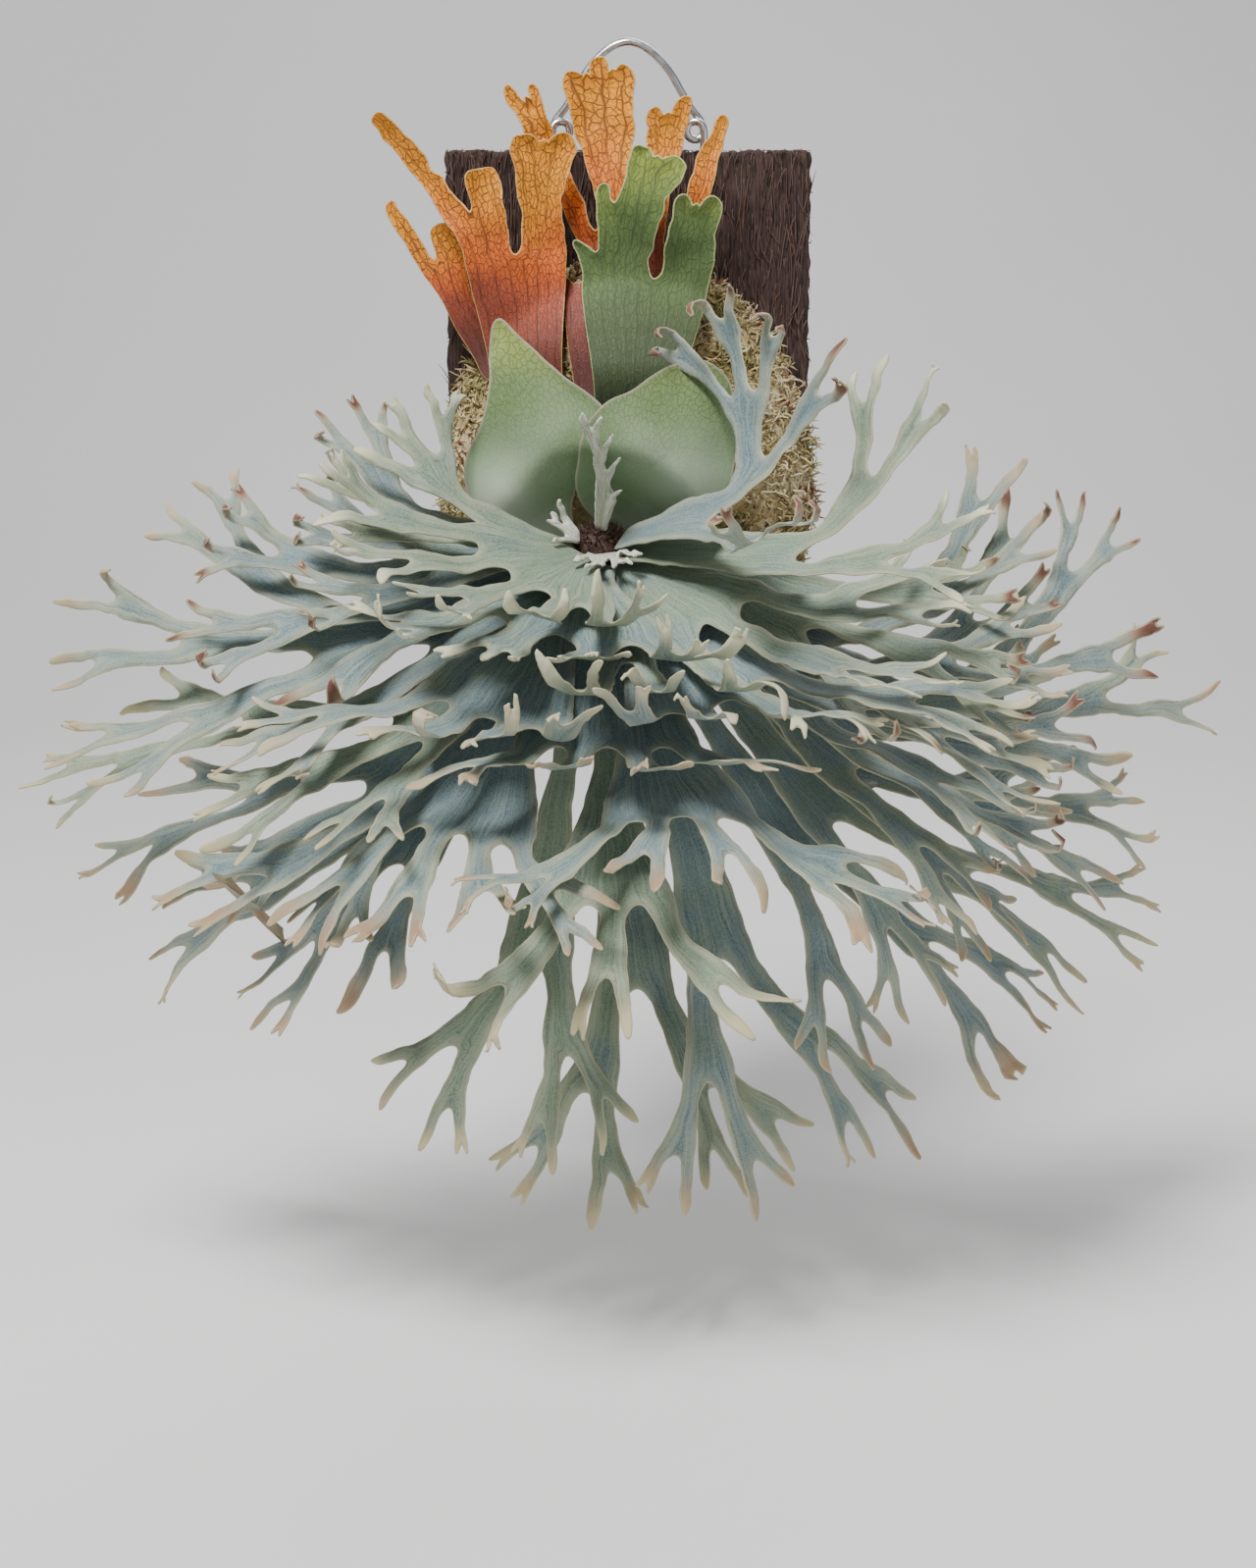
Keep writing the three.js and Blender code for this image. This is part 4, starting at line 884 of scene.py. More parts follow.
def moss_core_mesh():
    """The mound under its strands: lumpy, and never further out than the shields' seats."""
    tilt = np.repeat((np.arange(MOSS_RINGS) + 1) / MOSS_RINGS * (math.pi / 2), MOSS_AROUND)
    turn = np.tile(np.arange(MOSS_AROUND) / MOSS_AROUND * 2 * math.pi, MOSS_RINGS)
    x, z = on_mound(tilt, turn)
    flat = np.stack([x, z, np.zeros_like(x)], axis=1)
    sunk = sum((size * (1 + field(flat, wavelength, seed)) for size, wavelength, seed in LUMPS), LEAST_SUNK)
    y = -(SLAB["depth"] + CLEARANCE + (MOSS["rise"] - sunk) * np.cos(tilt))
    middles = [[MOSS["x"], -(SLAB["depth"] + MOSS["rise"] - 2), MOSS["z"]],
               [MOSS["x"], -(SLAB["depth"] + CLEARANCE), MOSS["z"]]]
    points = np.concatenate([np.stack([x, y, z], axis=1), middles])
    tone = np.append(field(points[:-2], 25, 6) * 0.5 + 0.4, [0.4, 0.4])
    faces = tube_faces(MOSS_RINGS, MOSS_AROUND, inside_out=True)
    return new_mesh("moss_core", points, faces, tone=tone)


def moss_strand_meshes(settings, covers):
    """Curly strands of dried moss over the mound's two sides, wherever no shield lies close on it."""
    random = np.random.default_rng(11)
    count = settings.moss_strands * TRIED
    tilt = np.arccos(1 - random.random(count) * 0.985)
    turn = random.random(count) * 2 * math.pi
    x, z = on_mound(tilt, turn)
    bare = np.hypot(x - RHIZOME[0], z - RHIZOME[2]) > RHIZOME_ROOM
    for cover in covers:
        bare &= ~covered(x, z, cover)
    x, z, tilt, turn = (value[bare][:settings.moss_strands] for value in (x, z, tilt, turn))
    count = len(x)
    y = -(SLAB["depth"] + CLEARANCE + (MOSS["rise"] - STRAND["rooted"]) * np.cos(tilt))
    normal = np.stack([np.sin(tilt) * np.cos(turn) / MOSS["half_width"], -np.cos(tilt) / MOSS["rise"],
                       np.sin(tilt) * np.sin(turn) / MOSS["half_height"]], axis=1)
    normal = unit(normal)
    length = settings.strand_length / MM * (0.5 + random.random(count))
    heading = unit(normal * STRAND["outward"] + random.normal(0, STRAND["spread"], (count, 3)))
    bend = random.normal(0, STRAND["bend"], (count, 3))
    paths = grown(np.stack([x, y, z], axis=1), heading, length, len(STRAND_TAPER), bend, random,
                  STRAND["wander"], normal * STRAND["pull"])
    paths[..., 1] = np.minimum(paths[..., 1], -(SLAB["depth"] + 1.0))
    radii = (STRAND["thin"] + STRAND["thicker"] * random.random(count))[:, None] * STRAND_TAPER
    patch = field(paths[:, 0], MOSS_TONE["wavelength"], MOSS_TONE["seed"])
    tone = clamp(0.5 + MOSS_TONE["patchy"] * patch + random.normal(0, MOSS_TONE["mixed"], count))
    sides = np.array_split(np.argsort(x, kind="stable"), 2)
    return [strands(name, paths[side], radii[side], tone=tone[side])
            for name, side in zip(("moss_strands_left", "moss_strands_right"), sides)]


SLAB_GRID = (110, 150)
SLAB_LAYERS = 7
GROOVES = ((0.55, 1, 1), (0.35, 0.45, 2), (0.5, 9, 3))  # size, wavelength and seed
GROOVE_CELL = (2.4, 26)  # mm across and along the fibres
GROOVE_DEPTH = {"usual": 0.9, "least": 0.05, "most": 3}
# How far, in mm, a side and the top are worn in, and how near the rim it starts: a higher power is nearer.
SIDE_WORN = {"size": 0.9, "wavelength": 7, "seed": 4, "most": 2.4, "power": 30}
TOP_WORN = {"size": 1.1, "wavelength": 3, "seed": 5, "most": 2.8, "power": 40}
ROUNDED = {"size": 2.0, "side_power": 60, "top_power": 90}  # the front's edges
RIM_NOISE = 0.8  # how far the rim's middle is worn in, and how uneven it is


def worn(along, share, kind):
    """How far the slab is worn in at its rim, from how far along the rim and how near it a point is."""
    rough = kind["size"] * field(np.stack([along, along * 0, along * 0], axis=1), kind["wavelength"],
                                 kind["seed"]) + kind["size"]
    return np.minimum(rough, kind["most"]) * np.abs(share) ** kind["power"]


def slab_mesh():
    """The slab: grooved along its fibres and worn at its edges, flat at its back."""
    wide, high = SLAB_GRID
    half = np.array([SLAB["width"] / 2, SLAB["height"] / 2])
    u, v = np.meshgrid(np.linspace(-1, 1, wide), np.linspace(-1, 1, high), indexing="ij")
    x, z = (u * half[0]).ravel(), (v * half[1]).ravel()
    u, v = u.ravel(), v.ravel()
    flat = np.stack([x / GROOVE_CELL[0], z / GROOVE_CELL[1], np.zeros_like(x)], axis=1)
    groove = ripples(flat, *GROOVES)
    deep = np.clip(GROOVE_DEPTH["usual"] + groove, GROOVE_DEPTH["least"], GROOVE_DEPTH["most"])
    inward_x = np.sign(x) * worn(z, u, SIDE_WORN)
    inward_z = np.sign(z) * worn(x, v, TOP_WORN)
    rounded = ROUNDED["size"] * np.maximum(np.abs(u) ** ROUNDED["side_power"],
                                           np.abs(v) ** ROUNDED["top_power"])
    front = np.stack([x - inward_x, -SLAB["depth"] + deep + rounded, z - inward_z], axis=1)
    back = np.stack([x - inward_x, np.zeros_like(x), z - inward_z], axis=1)
    index = np.arange(wide * high).reshape(wide, high)
    sheet = np.stack([index[:-1, :-1], index[1:, :-1], index[1:, 1:], index[:-1, 1:]], axis=-1).reshape(-1, 4)
    rim = np.concatenate([index[:, 0], index[-1, 1:], index[-2::-1, -1], index[0, -2:0:-1]])
    points = [front, back]
    first_layer = 2 * wide * high
    loops = [rim]
    for layer in range(1, SLAB_LAYERS):
        share = layer / SLAB_LAYERS
        ring = front[rim] * (1 - share) + back[rim] * share
        ring_noise = RIM_NOISE * field(ring * [1, 1, 0.15], 3.0, 7)[:, None]
        toward = -np.stack([np.sign(ring[:, 0]) * (np.abs(ring[:, 0]) > half[0] - 4), np.zeros(len(ring)),
                            np.sign(ring[:, 2]) * (np.abs(ring[:, 2]) > half[1] - 4)], axis=1)
        points.append(ring + toward * (RIM_NOISE + ring_noise))
        loops.append(first_layer + (layer - 1) * len(rim) + np.arange(len(rim)))
    loops.append(rim + wide * high)
    walls = [np.stack([near, far, np.roll(far, -1), np.roll(near, -1)], axis=-1)
             for near, far in zip(loops, loops[1:])]
    faces = np.concatenate([sheet, sheet[:, ::-1] + wide * high] + walls)
    return new_mesh("slab_board", np.concatenate(points), faces)


FIBRE = {"shortest": 6, "longer": 34, "on_edge": 0.05, "inset": 1.5, "sideways": 0.1, "outward": 0.03,
         "bend": 0.1, "thin": 0.22, "thicker": 0.26}


def slab_fibre_mesh(settings):
    """Loose fibres on the slab's front and along its edges."""
    random = np.random.default_rng(5)
    count = settings.slab_fibres
    length = FIBRE["shortest"] + FIBRE["longer"] * random.random(count) ** 2
    half_width, half_height = SLAB["width"] / 2 - FIBRE["inset"], SLAB["height"] / 2 - FIBRE["inset"]
    x = (random.random(count) * 2 - 1) * half_width
    z = (random.random(count) * 2 - 1) * half_height
    on_edge = random.random(count) < FIBRE["on_edge"]
    side = random.integers(0, 3, count)
    x = np.where(on_edge & (side == 0), half_width, np.where(on_edge & (side == 1), -half_width, x))
    z = np.where(on_edge & (side == 2), half_height, z)
    y = np.where(on_edge, -2 - random.random(count) * (SLAB["depth"] - 3), -SLAB["depth"] + 0.5)
    length = np.where(on_edge, 1 + 1.6 * random.random(count), length)
    heading = np.stack([random.normal(0, FIBRE["sideways"], count),
                        random.normal(0, FIBRE["outward"], count) - 0.01,
                        np.sign(random.random(count) - 0.5)], axis=1)
    outward = np.stack([np.sign(x) * (side < 2), np.zeros(count), (side == 2) * 1.0], axis=1)
    heading = unit(np.where(on_edge[:, None], outward + random.normal(0, 0.5, (count, 3)), heading))
    bend = random.normal(0, FIBRE["bend"], (count, 3))
    paths = grown(np.stack([x, y, z], axis=1), heading, length, len(FIBRE_TAPER), bend)
    paths[..., 1] = np.clip(paths[..., 1], -SLAB["depth"] - 1.6, -0.8)
    reach = SLAB["height"] / 2 - 1
    paths[..., 2] = np.where(on_edge[:, None], paths[..., 2], np.clip(paths[..., 2], -reach, reach))
    radii = (FIBRE["thin"] + FIBRE["thicker"] * random.random(count))[:, None] * FIBRE_TAPER
    return strands("slab_fibres", paths, radii, tone=random.random(count))


def catmull_rom(points, per_span):
    """A smooth path through points that are unevenly spaced."""
    points = np.array([2 * np.array(points[0]) - points[1], *points, 2 * np.array(points[-1]) - points[-2]])
    path = []
    for a, p, q, d in zip(points, points[1:], points[2:], points[3:]):
        t1 = np.linalg.norm(p - a) ** 0.5
        t2 = t1 + np.linalg.norm(q - p) ** 0.5
        t3 = t2 + np.linalg.norm(d - q) ** 0.5
        for t in np.linspace(t1, t2, per_span, endpoint=False):
            first = (t1 - t) / t1 * a + t / t1 * p
            second = (t2 - t) / (t2 - t1) * p + (t - t1) / (t2 - t1) * q
            third = (t3 - t) / (t3 - t2) * q + (t - t2) / (t3 - t2) * d
            left = (t2 - t) / t2 * first + t / t2 * second
            joined = (t3 - t) / (t3 - t1) * second + (t - t1) / (t3 - t1) * third
            path.append((t2 - t) / (t2 - t1) * left + (t - t1) / (t2 - t1) * joined)
    path.append(points[-2])
    return np.array(path)


# Half of the wire's arch: how far each point lies from the middle, and how far below the top.
WIRE_ARCH = ((42, 44), (36.5, 37), (31, 28), (25, 18), (17, 8.5), (8.5, 2.2))
EYE_TURNS = 10
WIRE_SIDES = 20
STEPS_PER_SPAN = 12


def wire_mesh():
    """The hanging wire: a leg from the slab, a turn at each side and an arch between them."""
    face = -SLAB["depth"] - WIRE["stand_off"]
    back = face + 2 * WIRE["radius"] + EYE["gap"]
    x, z = WIRE["leg_x"], WIRE["leg_z"]
    half = [(x, -SLAB["depth"] + WIRE["hole_depth"] - 3, z), (x, -SLAB["depth"] + 8, z),
            (x, -SLAB["depth"] - 1, z), (x, face + 1.4, z + 1.6), (x, face, z + 6), (x, face, z + 25),
            (x, face, EYE["z"] - 12)]
    for i in range(EYE_TURNS + 1):
        angle = 2 * math.pi * i / EYE_TURNS
        half.append((EYE["x"] + EYE["radius"] * math.cos(angle), face + (back - face) * i / EYE_TURNS,
                     EYE["z"] + EYE["radius"] * math.sin(angle)))
    half += [(at, back, WIRE_TOP - drop) for at, drop in WIRE_ARCH]
    left = [(-at, y, up) for at, y, up in half]
    path = catmull_rom(left + [(0, back, WIRE_TOP)] + half[::-1], STEPS_PER_SPAN)
    return swept_tube("hanging_wire", path, WIRE["radius"], WIRE_SIDES)


BALL = {"share": 0.96, "ends": 148, "rings": 26, "sides": 48}
HAIR = {"back": 0.7, "shortest": 3.5, "longer": 4.5, "spread": 0.35, "bend": 0.18, "thin": 0.2,
        "thicker": 0.22}
HAIR_LEAN = np.array([0, -0.5, 0.2])


def rhizome_core_mesh():
    """The ball of the rhizome and the stem that ties it into the moss."""
    ball = RHIZOME_RADIUS * BALL["share"]
    profile = [(ball * math.sin(a), -ball * math.cos(a))
               for a in np.linspace(0.02, math.radians(BALL["ends"]), BALL["rings"])]
    stem_end = -(SLAB["depth"] + float(mound(RHIZOME[0], RHIZOME[2])) + 2 * CLEARANCE) - RHIZOME[1] - 1.2
    profile += [(STEM_RADIUS, RHIZOME_RADIUS * 0.84 + 1), (STEM_RADIUS, stem_end)]
    sides = BALL["sides"]
    turn = np.linspace(0, 2 * math.pi, sides, endpoint=False)
    rings = [np.stack([r * np.cos(turn), np.full(sides, y), r * np.sin(turn)], axis=1) for r, y in profile]
    points = np.concatenate(rings + [[[0, profile[0][1], 0]], [[0, profile[-1][1], 0]]])
    bumps = field(points, 3.2, 2) * 0.5
    points[:, [0, 2]] *= (1 - 0.02 * (1 + bumps))[:, None]
    return new_mesh("rhizome_core", points + RHIZOME, tube_faces(len(profile), sides, inside_out=True))


def bud_hair_mesh(settings):
    """Brown hairs and scales that cover the rhizome's growing end."""
    random = np.random.default_rng(21)
    count = settings.bud_hairs
    ahead = np.minimum(random.random(count) * (1 + HAIR["back"]) - HAIR["back"], 0.999)
    turn = random.random(count) * 2 * math.pi
    ring = np.sqrt(1 - ahead ** 2)
    normal = np.stack([ring * np.cos(turn), -ahead, ring * np.sin(turn)], axis=1)
    place = RHIZOME + normal * RHIZOME_RADIUS * 0.9
    heading = unit(normal + HAIR_LEAN + random.normal(0, HAIR["spread"], (count, 3)))
    bend = random.normal(0, HAIR["bend"], (count, 3))
    length = HAIR["shortest"] + HAIR["longer"] * random.random(count)
    paths = grown(place, heading, length, len(HAIR_TAPER), bend)
    radii = (HAIR["thin"] + HAIR["thicker"] * random.random(count))[:, None] * HAIR_TAPER
    return strands("bud_hairs", paths, radii, tone=random.random(count))


# ---------------------------------------------------------------- shader helpers
class Nodes:
    """Adds nodes to a tree. What a node is given is a number, a colour or another node's socket."""

    def __init__(self, tree):
        self.tree = tree

    def give(self, socket, value):
        if isinstance(value, bpy.types.NodeSocket):
            self.tree.links.new(value, socket)
        else:
            socket.default_value = value

    def add(self, kind, inputs=None, **settings):
        """A new node with these settings, and what each input named is given."""
        made = self.tree.nodes.new(kind)
        for key, value in settings.items():
            setattr(made, key, value)
        for key, value in (inputs or {}).items():
            self.give(made.inputs[key], value)
        return made

    def over(self, colour, *layers):
        """A colour with others laid over it in turn, each given as its share and its colour."""
        for share, other in layers:
            made = self.add("ShaderNodeMix", data_type="RGBA")
            self.give(made.inputs[0], share)
            for socket, value in ((made.inputs[6], colour), (made.inputs[7], other)):
                self.give(socket, value if isinstance(value, bpy.types.NodeSocket) else (*value, 1))
            colour = made.outputs[2]
        return colour

    def eased(self, value, low, high, to_low=0.0, to_high=1.0):
        """A value that goes smoothly from to_low to to_high as another goes from low to high."""
        return self.add("ShaderNodeMapRange", {0: value, 1: low, 2: high, 3: to_low, 4: to_high},
                        interpolation_type="SMOOTHSTEP").outputs[0]

    def computed(self, operation, *values):
        return self.add("ShaderNodeMath", dict(enumerate(values)), operation=operation).outputs[0]

    def times(self, first, second):
        return self.computed("MULTIPLY", first, second)

    def plus(self, first, second):
        return self.computed("ADD", first, second)

    def read(self, name, output="Fac"):
        """The value that each point of the mesh holds under a name."""
        return self.add("ShaderNodeAttribute", attribute_name=name).outputs[output]

    def patchy(self, name, patches, size):
        """A value that the mesh holds, made uneven by patches."""
        return self.computed("MULTIPLY_ADD", patches, size,
                             self.computed("SUBTRACT", self.read(name), size / 2))

    def place(self):
        """Where each point is, in metres."""
        return self.add("ShaderNodeTexCoord").outputs["Object"]

    def noise(self, vector, scale, detail=2.0, roughness=0.5):
        return self.add("ShaderNodeTexNoise", {"Vector": vector, "Scale": scale, "Detail": detail,
                                               "Roughness": roughness}).outputs["Fac"]


class Group(Nodes):
    """A new node group, which several materials share."""

    def __init__(self, name, inputs, outputs):
        super().__init__(bpy.data.node_groups.new(name, "ShaderNodeTree"))
        for key, default in inputs.items():
            kind = "NodeSocketVector" if key == "Flow" else "NodeSocketFloat"
            socket = self.tree.interface.new_socket(key, in_out="INPUT", socket_type=kind)
            if default is not None:
                socket.default_value = default
        for key in outputs:
            self.tree.interface.new_socket(key, in_out="OUTPUT", socket_type="NodeSocketFloat")
        self.inputs = self.add("NodeGroupInput").outputs
        self.outputs = self.add("NodeGroupOutput").inputs


class Material(Nodes):
    """A new material with a principled shader."""

    def __init__(self, name):
        self.material = bpy.data.materials.new(name)
        self.material.use_nodes = True
        super().__init__(self.material.node_tree)
        self.shader = self.tree.nodes["Principled BSDF"]

    def group(self, name, **inputs):
        """The outputs of a node group, whose inputs are named with _ for a space."""
        given = {key.replace("_", " "): value for key, value in inputs.items()}
        return self.add("ShaderNodeGroup", given, node_tree=bpy.data.node_groups[name]).outputs

    def felt(self, streak_width, streak_length):
        """The streaks, the grain and the patches of felt."""
        return tuple(self.group("Felt", Flow=self.read("flow", "Vector"), Streak_Width=streak_width,
                                Streak_Length=streak_length))

    def veins(self, width, length, line):
        """A net of veins with cells of this width and length, and lines of this share of a cell."""
        return self.group("Vein net", Flow=self.read("flow", "Vector"), Cell_Width=width, Cell_Length=length,
                          Line_Width=line)["Net"]

    def margin_line(self, width):
        return self.group("Margin line", Margin=self.read("margin"), Width=width)["Mask"]

    def finish(self, colour, roughness, relief=None, depth=0.0, strength=1.0, constants=None):
        """Gives the shader its colour, its roughness, a relief of this depth in mm and its constants."""
        self.give(self.shader.inputs["Base Color"], colour)
        self.give(self.shader.inputs["Roughness"], roughness)
        if relief is not None:
            bump = self.add("ShaderNodeBump",
                            {"Height": relief, "Distance": depth * MM, "Strength": strength})
            self.give(self.shader.inputs["Normal"], bump.outputs["Normal"])
        for key, value in (constants or {}).items():
            self.shader.inputs[key].default_value = value
        return self.material


def felt_group():
    """Streaks along a blade's veins, the grain of its felt, and broad patches where the felt is thick."""
    group = Group("Felt", {"Flow": None, "Streak Width": 0.7, "Streak Length": 30.0},
                  ("Streaks", "Grain", "Patches"))
    flow = group.add("ShaderNodeSeparateXYZ", {0: group.inputs["Flow"]}).outputs
    across = group.computed("DIVIDE", flow[0], group.inputs["Streak Width"])
    along = group.computed("DIVIDE", flow[1], group.inputs["Streak Length"])
    stretched = group.add("ShaderNodeCombineXYZ", {0: across, 1: along, 2: flow[2]}).outputs[0]
    place = group.place()
    group.give(group.outputs["Streaks"], group.noise(stretched, 1.0, 3.0, 0.6))
    group.give(group.outputs["Grain"], group.noise(place, 1000.0))
    group.give(group.outputs["Patches"], group.noise(place, 26.0, 4.0, 0.6))


def margin_group():
    """A line along a blade's edge that wanders in width."""
    group = Group("Margin line", {"Margin": None, "Width": 1.0}, ["Mask"])
    wander = group.computed("MULTIPLY_ADD", group.noise(group.place(), 90.0), 0.9, 0.55)
    share = group.computed("DIVIDE", group.inputs["Margin"], group.times(group.inputs["Width"], wander))
    group.give(group.outputs["Mask"], group.eased(share, 0.35, 1.15, 1.0, 0.0))


def vein_group():
    """A net of veins and a finer one between them, with uneven cells drawn out along the blade."""
    group = Group("Vein net", {"Flow": None, "Cell Width": 3.0, "Cell Length": 7.0, "Line Width": 0.12},
                  ["Net"])
    flow = group.inputs["Flow"]
    bent = group.add("ShaderNodeTexNoise", {"Vector": flow, "Scale": 0.16, "Detail": 3.0}).outputs["Color"]
    shift = group.add("ShaderNodeVectorMath", {0: bent, 1: VEIN_SHIFT}, operation="MULTIPLY").outputs[0]
    moved = group.add("ShaderNodeVectorMath", {0: flow, 1: shift}, operation="ADD").outputs[0]
    parts = group.add("ShaderNodeSeparateXYZ", {0: moved}).outputs
    across = group.computed("DIVIDE", parts[0], group.inputs["Cell Width"])
    along = group.computed("DIVIDE", parts[1], group.inputs["Cell Length"])
    place = group.add("ShaderNodeCombineXYZ", {0: across, 1: along}).outputs[0]
    nets = []
    for scale, weight in VEIN_NETS:
        cells = group.add("ShaderNodeTexVoronoi", {"Vector": place, "Scale": scale},
                          feature="DISTANCE_TO_EDGE", voronoi_dimensions="2D")
        share = group.computed("DIVIDE", cells.outputs["Distance"], group.inputs["Line Width"])
        nets.append(group.eased(share, 0.2, 1.2, weight, 0.0))
    group.give(group.outputs["Net"], group.computed("MAXIMUM", *nets))


def fibre_group():
    """Coarse fibres that run up and down."""
    group = Group("Fibres", {}, ("Fibres", "Patches"))
    place = group.place()
    stretched = group.add("ShaderNodeMapping", {"Vector": place, "Scale": (1.0, 1.0, 0.06)}).outputs[0]
    group.give(group.outputs["Fibres"], group.noise(stretched, 900.0, 5.0, 0.7))
    group.give(group.outputs["Patches"], group.noise(place, 30.0, 4.0, 0.6))


# ---------------------------------------------------------------- materials
VEIN_SHIFT = (3.5, 4.5, 0.0)  # how far, in mm, the net's cells are pushed out of line
VEIN_NETS = ((1.0, 1.0), (1.9, 0.5))  # scale and strength of the coarse net and the fine one


def antler_material(colours):
    """Blades from sage to steel blue, paler at their margins, that turn to cream and tan at their tips."""
    made = Material("antler felt")
    tip = made.read("tip")
    streaks, grain, patches = made.felt(0.9, 40.0)
    cool = made.plus(made.times(made.read("tone"), 0.5), patches)
    bloom = made.times(made.eased(made.read("margin"), 0.4, 7.0, 0.7, 0.0),
                       made.eased(patches, 0.35, 0.6, 1.0, 0.5))
    out = made.eased(made.read("reach"), 0.25, 0.6)
    warm = made.over(colours.tip_cream, (made.eased(cool, 0.6, 1.05), colours.tip_tan),
                     (made.read("fresh"), colours.tip_fresh))
    colour = made.over(
        colours.blade_sage,
        (made.eased(cool, 0.52, 0.98), colours.blade_blue),
        (made.eased(patches, 0.55, 0.8, 0.0, 0.5), colours.blade_dark),
        (bloom, colours.blade_bloom),
        (made.eased(streaks, 0.46, 0.64, 0.0, 0.42), colours.blade_felt),
        (made.eased(streaks, 0.32, 0.45, 0.6, 0.0), colours.blade_dark),
        (made.eased(grain, 0.42, 0.6, 0.0, 0.36), colours.blade_felt),
        (made.times(made.eased(tip, 0.0, 0.9, 0.0, 0.85), out), warm),
        (made.times(made.eased(tip, 0.35, 0.85, 0.0, 0.9), made.read("age")), colours.tip_dried),
        (made.times(made.margin_line(0.8), made.times(out, 0.55)), colours.margin_colour))
    relief = made.computed("MULTIPLY_ADD", streaks, 0.7, made.times(grain, 0.5))
    return made.finish(colour, made.eased(grain, 0.3, 0.7, 0.55, 0.8), relief, 0.5, 0.8,
                       {"Sheen Weight": 0.12, "Sheen Roughness": 0.5})


def young_material(colours):
    """Thick white felt over a pale green blade."""
    made = Material("young felt")
    streaks, grain, _ = made.felt(0.5, 12.0)
    colour = made.over(
        colours.young_green,
        (made.eased(streaks, 0.36, 0.62), colours.young_white),
        (made.eased(made.read("tip"), 0.0, 0.7, 0.2, 0.9), colours.young_white))
    return made.finish(colour, made.eased(grain, 0.3, 0.7, 0.75, 0.95), made.plus(streaks, grain), 0.7,
                       constants={"Sheen Weight": 0.6, "Sheen Roughness": 0.4})


def orange_material(colours):
    """Orange shield: mauve-brown at its foot, darkened there as painted shade, golden at its tips, with a net
    of dark veins.
    """
    made = Material("shield orange")
    streaks, grain, patches = made.felt(0.8, 24.0)
    height = made.patchy("height", patches, 0.22)
    net = made.times(made.veins(2.7, 5.2, 0.11), made.eased(height, 0.1, 0.7, 0.35, 0.78))
    veined = made.computed("MAXIMUM", net, made.times(made.read("rib"), 0.95))
    # The mauve base shows most at the foot, where it is darkened as painted shade for the shadow between the
    # shields.
    colour = made.over(
        colours.shield_mauve_and_shade,
        (made.eased(height, 0.08, 0.4), colours.shield_salmon),
        (made.eased(height, 0.36, 0.56), colours.shield_orange),
        (made.eased(height, 0.52, 0.8), colours.shield_gold),
        (made.eased(streaks, 0.4, 0.7, 0.0, 0.22), colours.shield_mauve_and_shade),
        (veined, colours.vein_dark),
        (made.times(made.margin_line(0.55), 0.8), colours.margin_gold))
    relief = made.plus(veined, made.times(streaks, 0.3))
    return made.finish(colour, made.eased(grain, 0.3, 0.7, 0.55, 0.75), relief, 0.3)


def green_material(colours):
    """Green lobed shield: olive at its top and dark below, the dark partly painted shade, with dark veins
    that run up it.
    """
    made = Material("shield green")
    streaks, grain, _ = made.felt(0.9, 34.0)
    height = made.read("height")
    veined = made.computed("MAXIMUM", made.times(made.veins(2.5, 6.5, 0.11), 0.55),
                           made.times(made.read("rib"), 0.8))
    # Darker below: the shield's own lower green, darkened further as painted shade.
    colour = made.over(
        colours.shield_green,
        (made.eased(height, 0.3, 0.75), colours.shield_leaf),
        (made.eased(height, 0.7, 1.0), colours.shield_lime),
        (made.eased(streaks, 0.42, 0.68, 0.0, 0.22), colours.shield_blue),
        (veined, colours.vein_green),
        (made.times(made.margin_line(0.6), 0.7), colours.margin_green))
    relief = made.plus(veined, made.times(streaks, 0.4))
    return made.finish(colour, made.eased(grain, 0.3, 0.7, 0.62, 0.82), relief, 0.3,
                       constants={"Sheen Weight": 0.1})


def round_material(colours):
    """Round shield: smooth green with fine veins at its top and a pale bloom on its cheeks."""
    made = Material("shield round")
    _, grain, patches = made.felt(0.7, 22.0)
    height = made.patchy("height", patches, 0.3)
    net = made.times(made.veins(1.9, 5.0, 0.13), made.eased(height, 0.3, 0.85, 0.05, 0.5))
    bloom = made.computed("MAXIMUM", made.eased(height, 0.0, 0.34, 0.75, 0.0), made.read("bloom"))
    colour = made.over(
        colours.shield_fresh,
        (made.eased(height, 0.3, 0.68), colours.shield_leaf),
        (made.eased(height, 0.66, 1.0), colours.shield_lime),
        (bloom, colours.shield_bloom),
        (made.eased(grain, 0.4, 0.62, 0.0, 0.16), colours.shield_bloom),
        (net, colours.vein_green),
        (made.times(made.margin_line(1.5), 0.6), colours.margin_mauve))
    relief = made.plus(net, made.times(grain, 0.3))
    return made.finish(colour, made.eased(grain, 0.3, 0.7, 0.55, 0.75), relief, 0.25,
                       constants={"Sheen Weight": 0.15})


def old_material(colours):
    """Old shield, dried to brown paper."""
    made = Material("shield dry")
    streaks, grain, patches = made.felt(1.2, 20.0)
    colour = made.over(
        colours.dry_brown,
        (patches, colours.dry_straw),
        (made.times(made.veins(2.6, 6.0, 0.12), 0.5), colours.dry_brown))
    return made.finish(colour, made.eased(grain, 0.3, 0.7, 0.75, 0.95), streaks, 0.8)


def moss_material(colours):
    """Dried moss: straw and tan strands, some green and a few red-brown."""
    made = Material("dried moss")
    tone = made.read("tone")
    mottled = made.noise(made.place(), 420.0, 3.0)
    colour = made.over(
        colours.moss_green,
        (made.eased(tone, 0.1, 0.45), colours.moss_straw),
        (made.eased(tone, 0.45, 0.75), colours.moss_pale),
        (made.eased(tone, 0.97, 1.0), colours.moss_red),
        (made.eased(mottled, 0.35, 0.65, 0.45, 0.0), colours.moss_dark))
    return made.finish(colour, made.eased(mottled, 0.3, 0.7, 0.8, 1.0), mottled, 0.8)


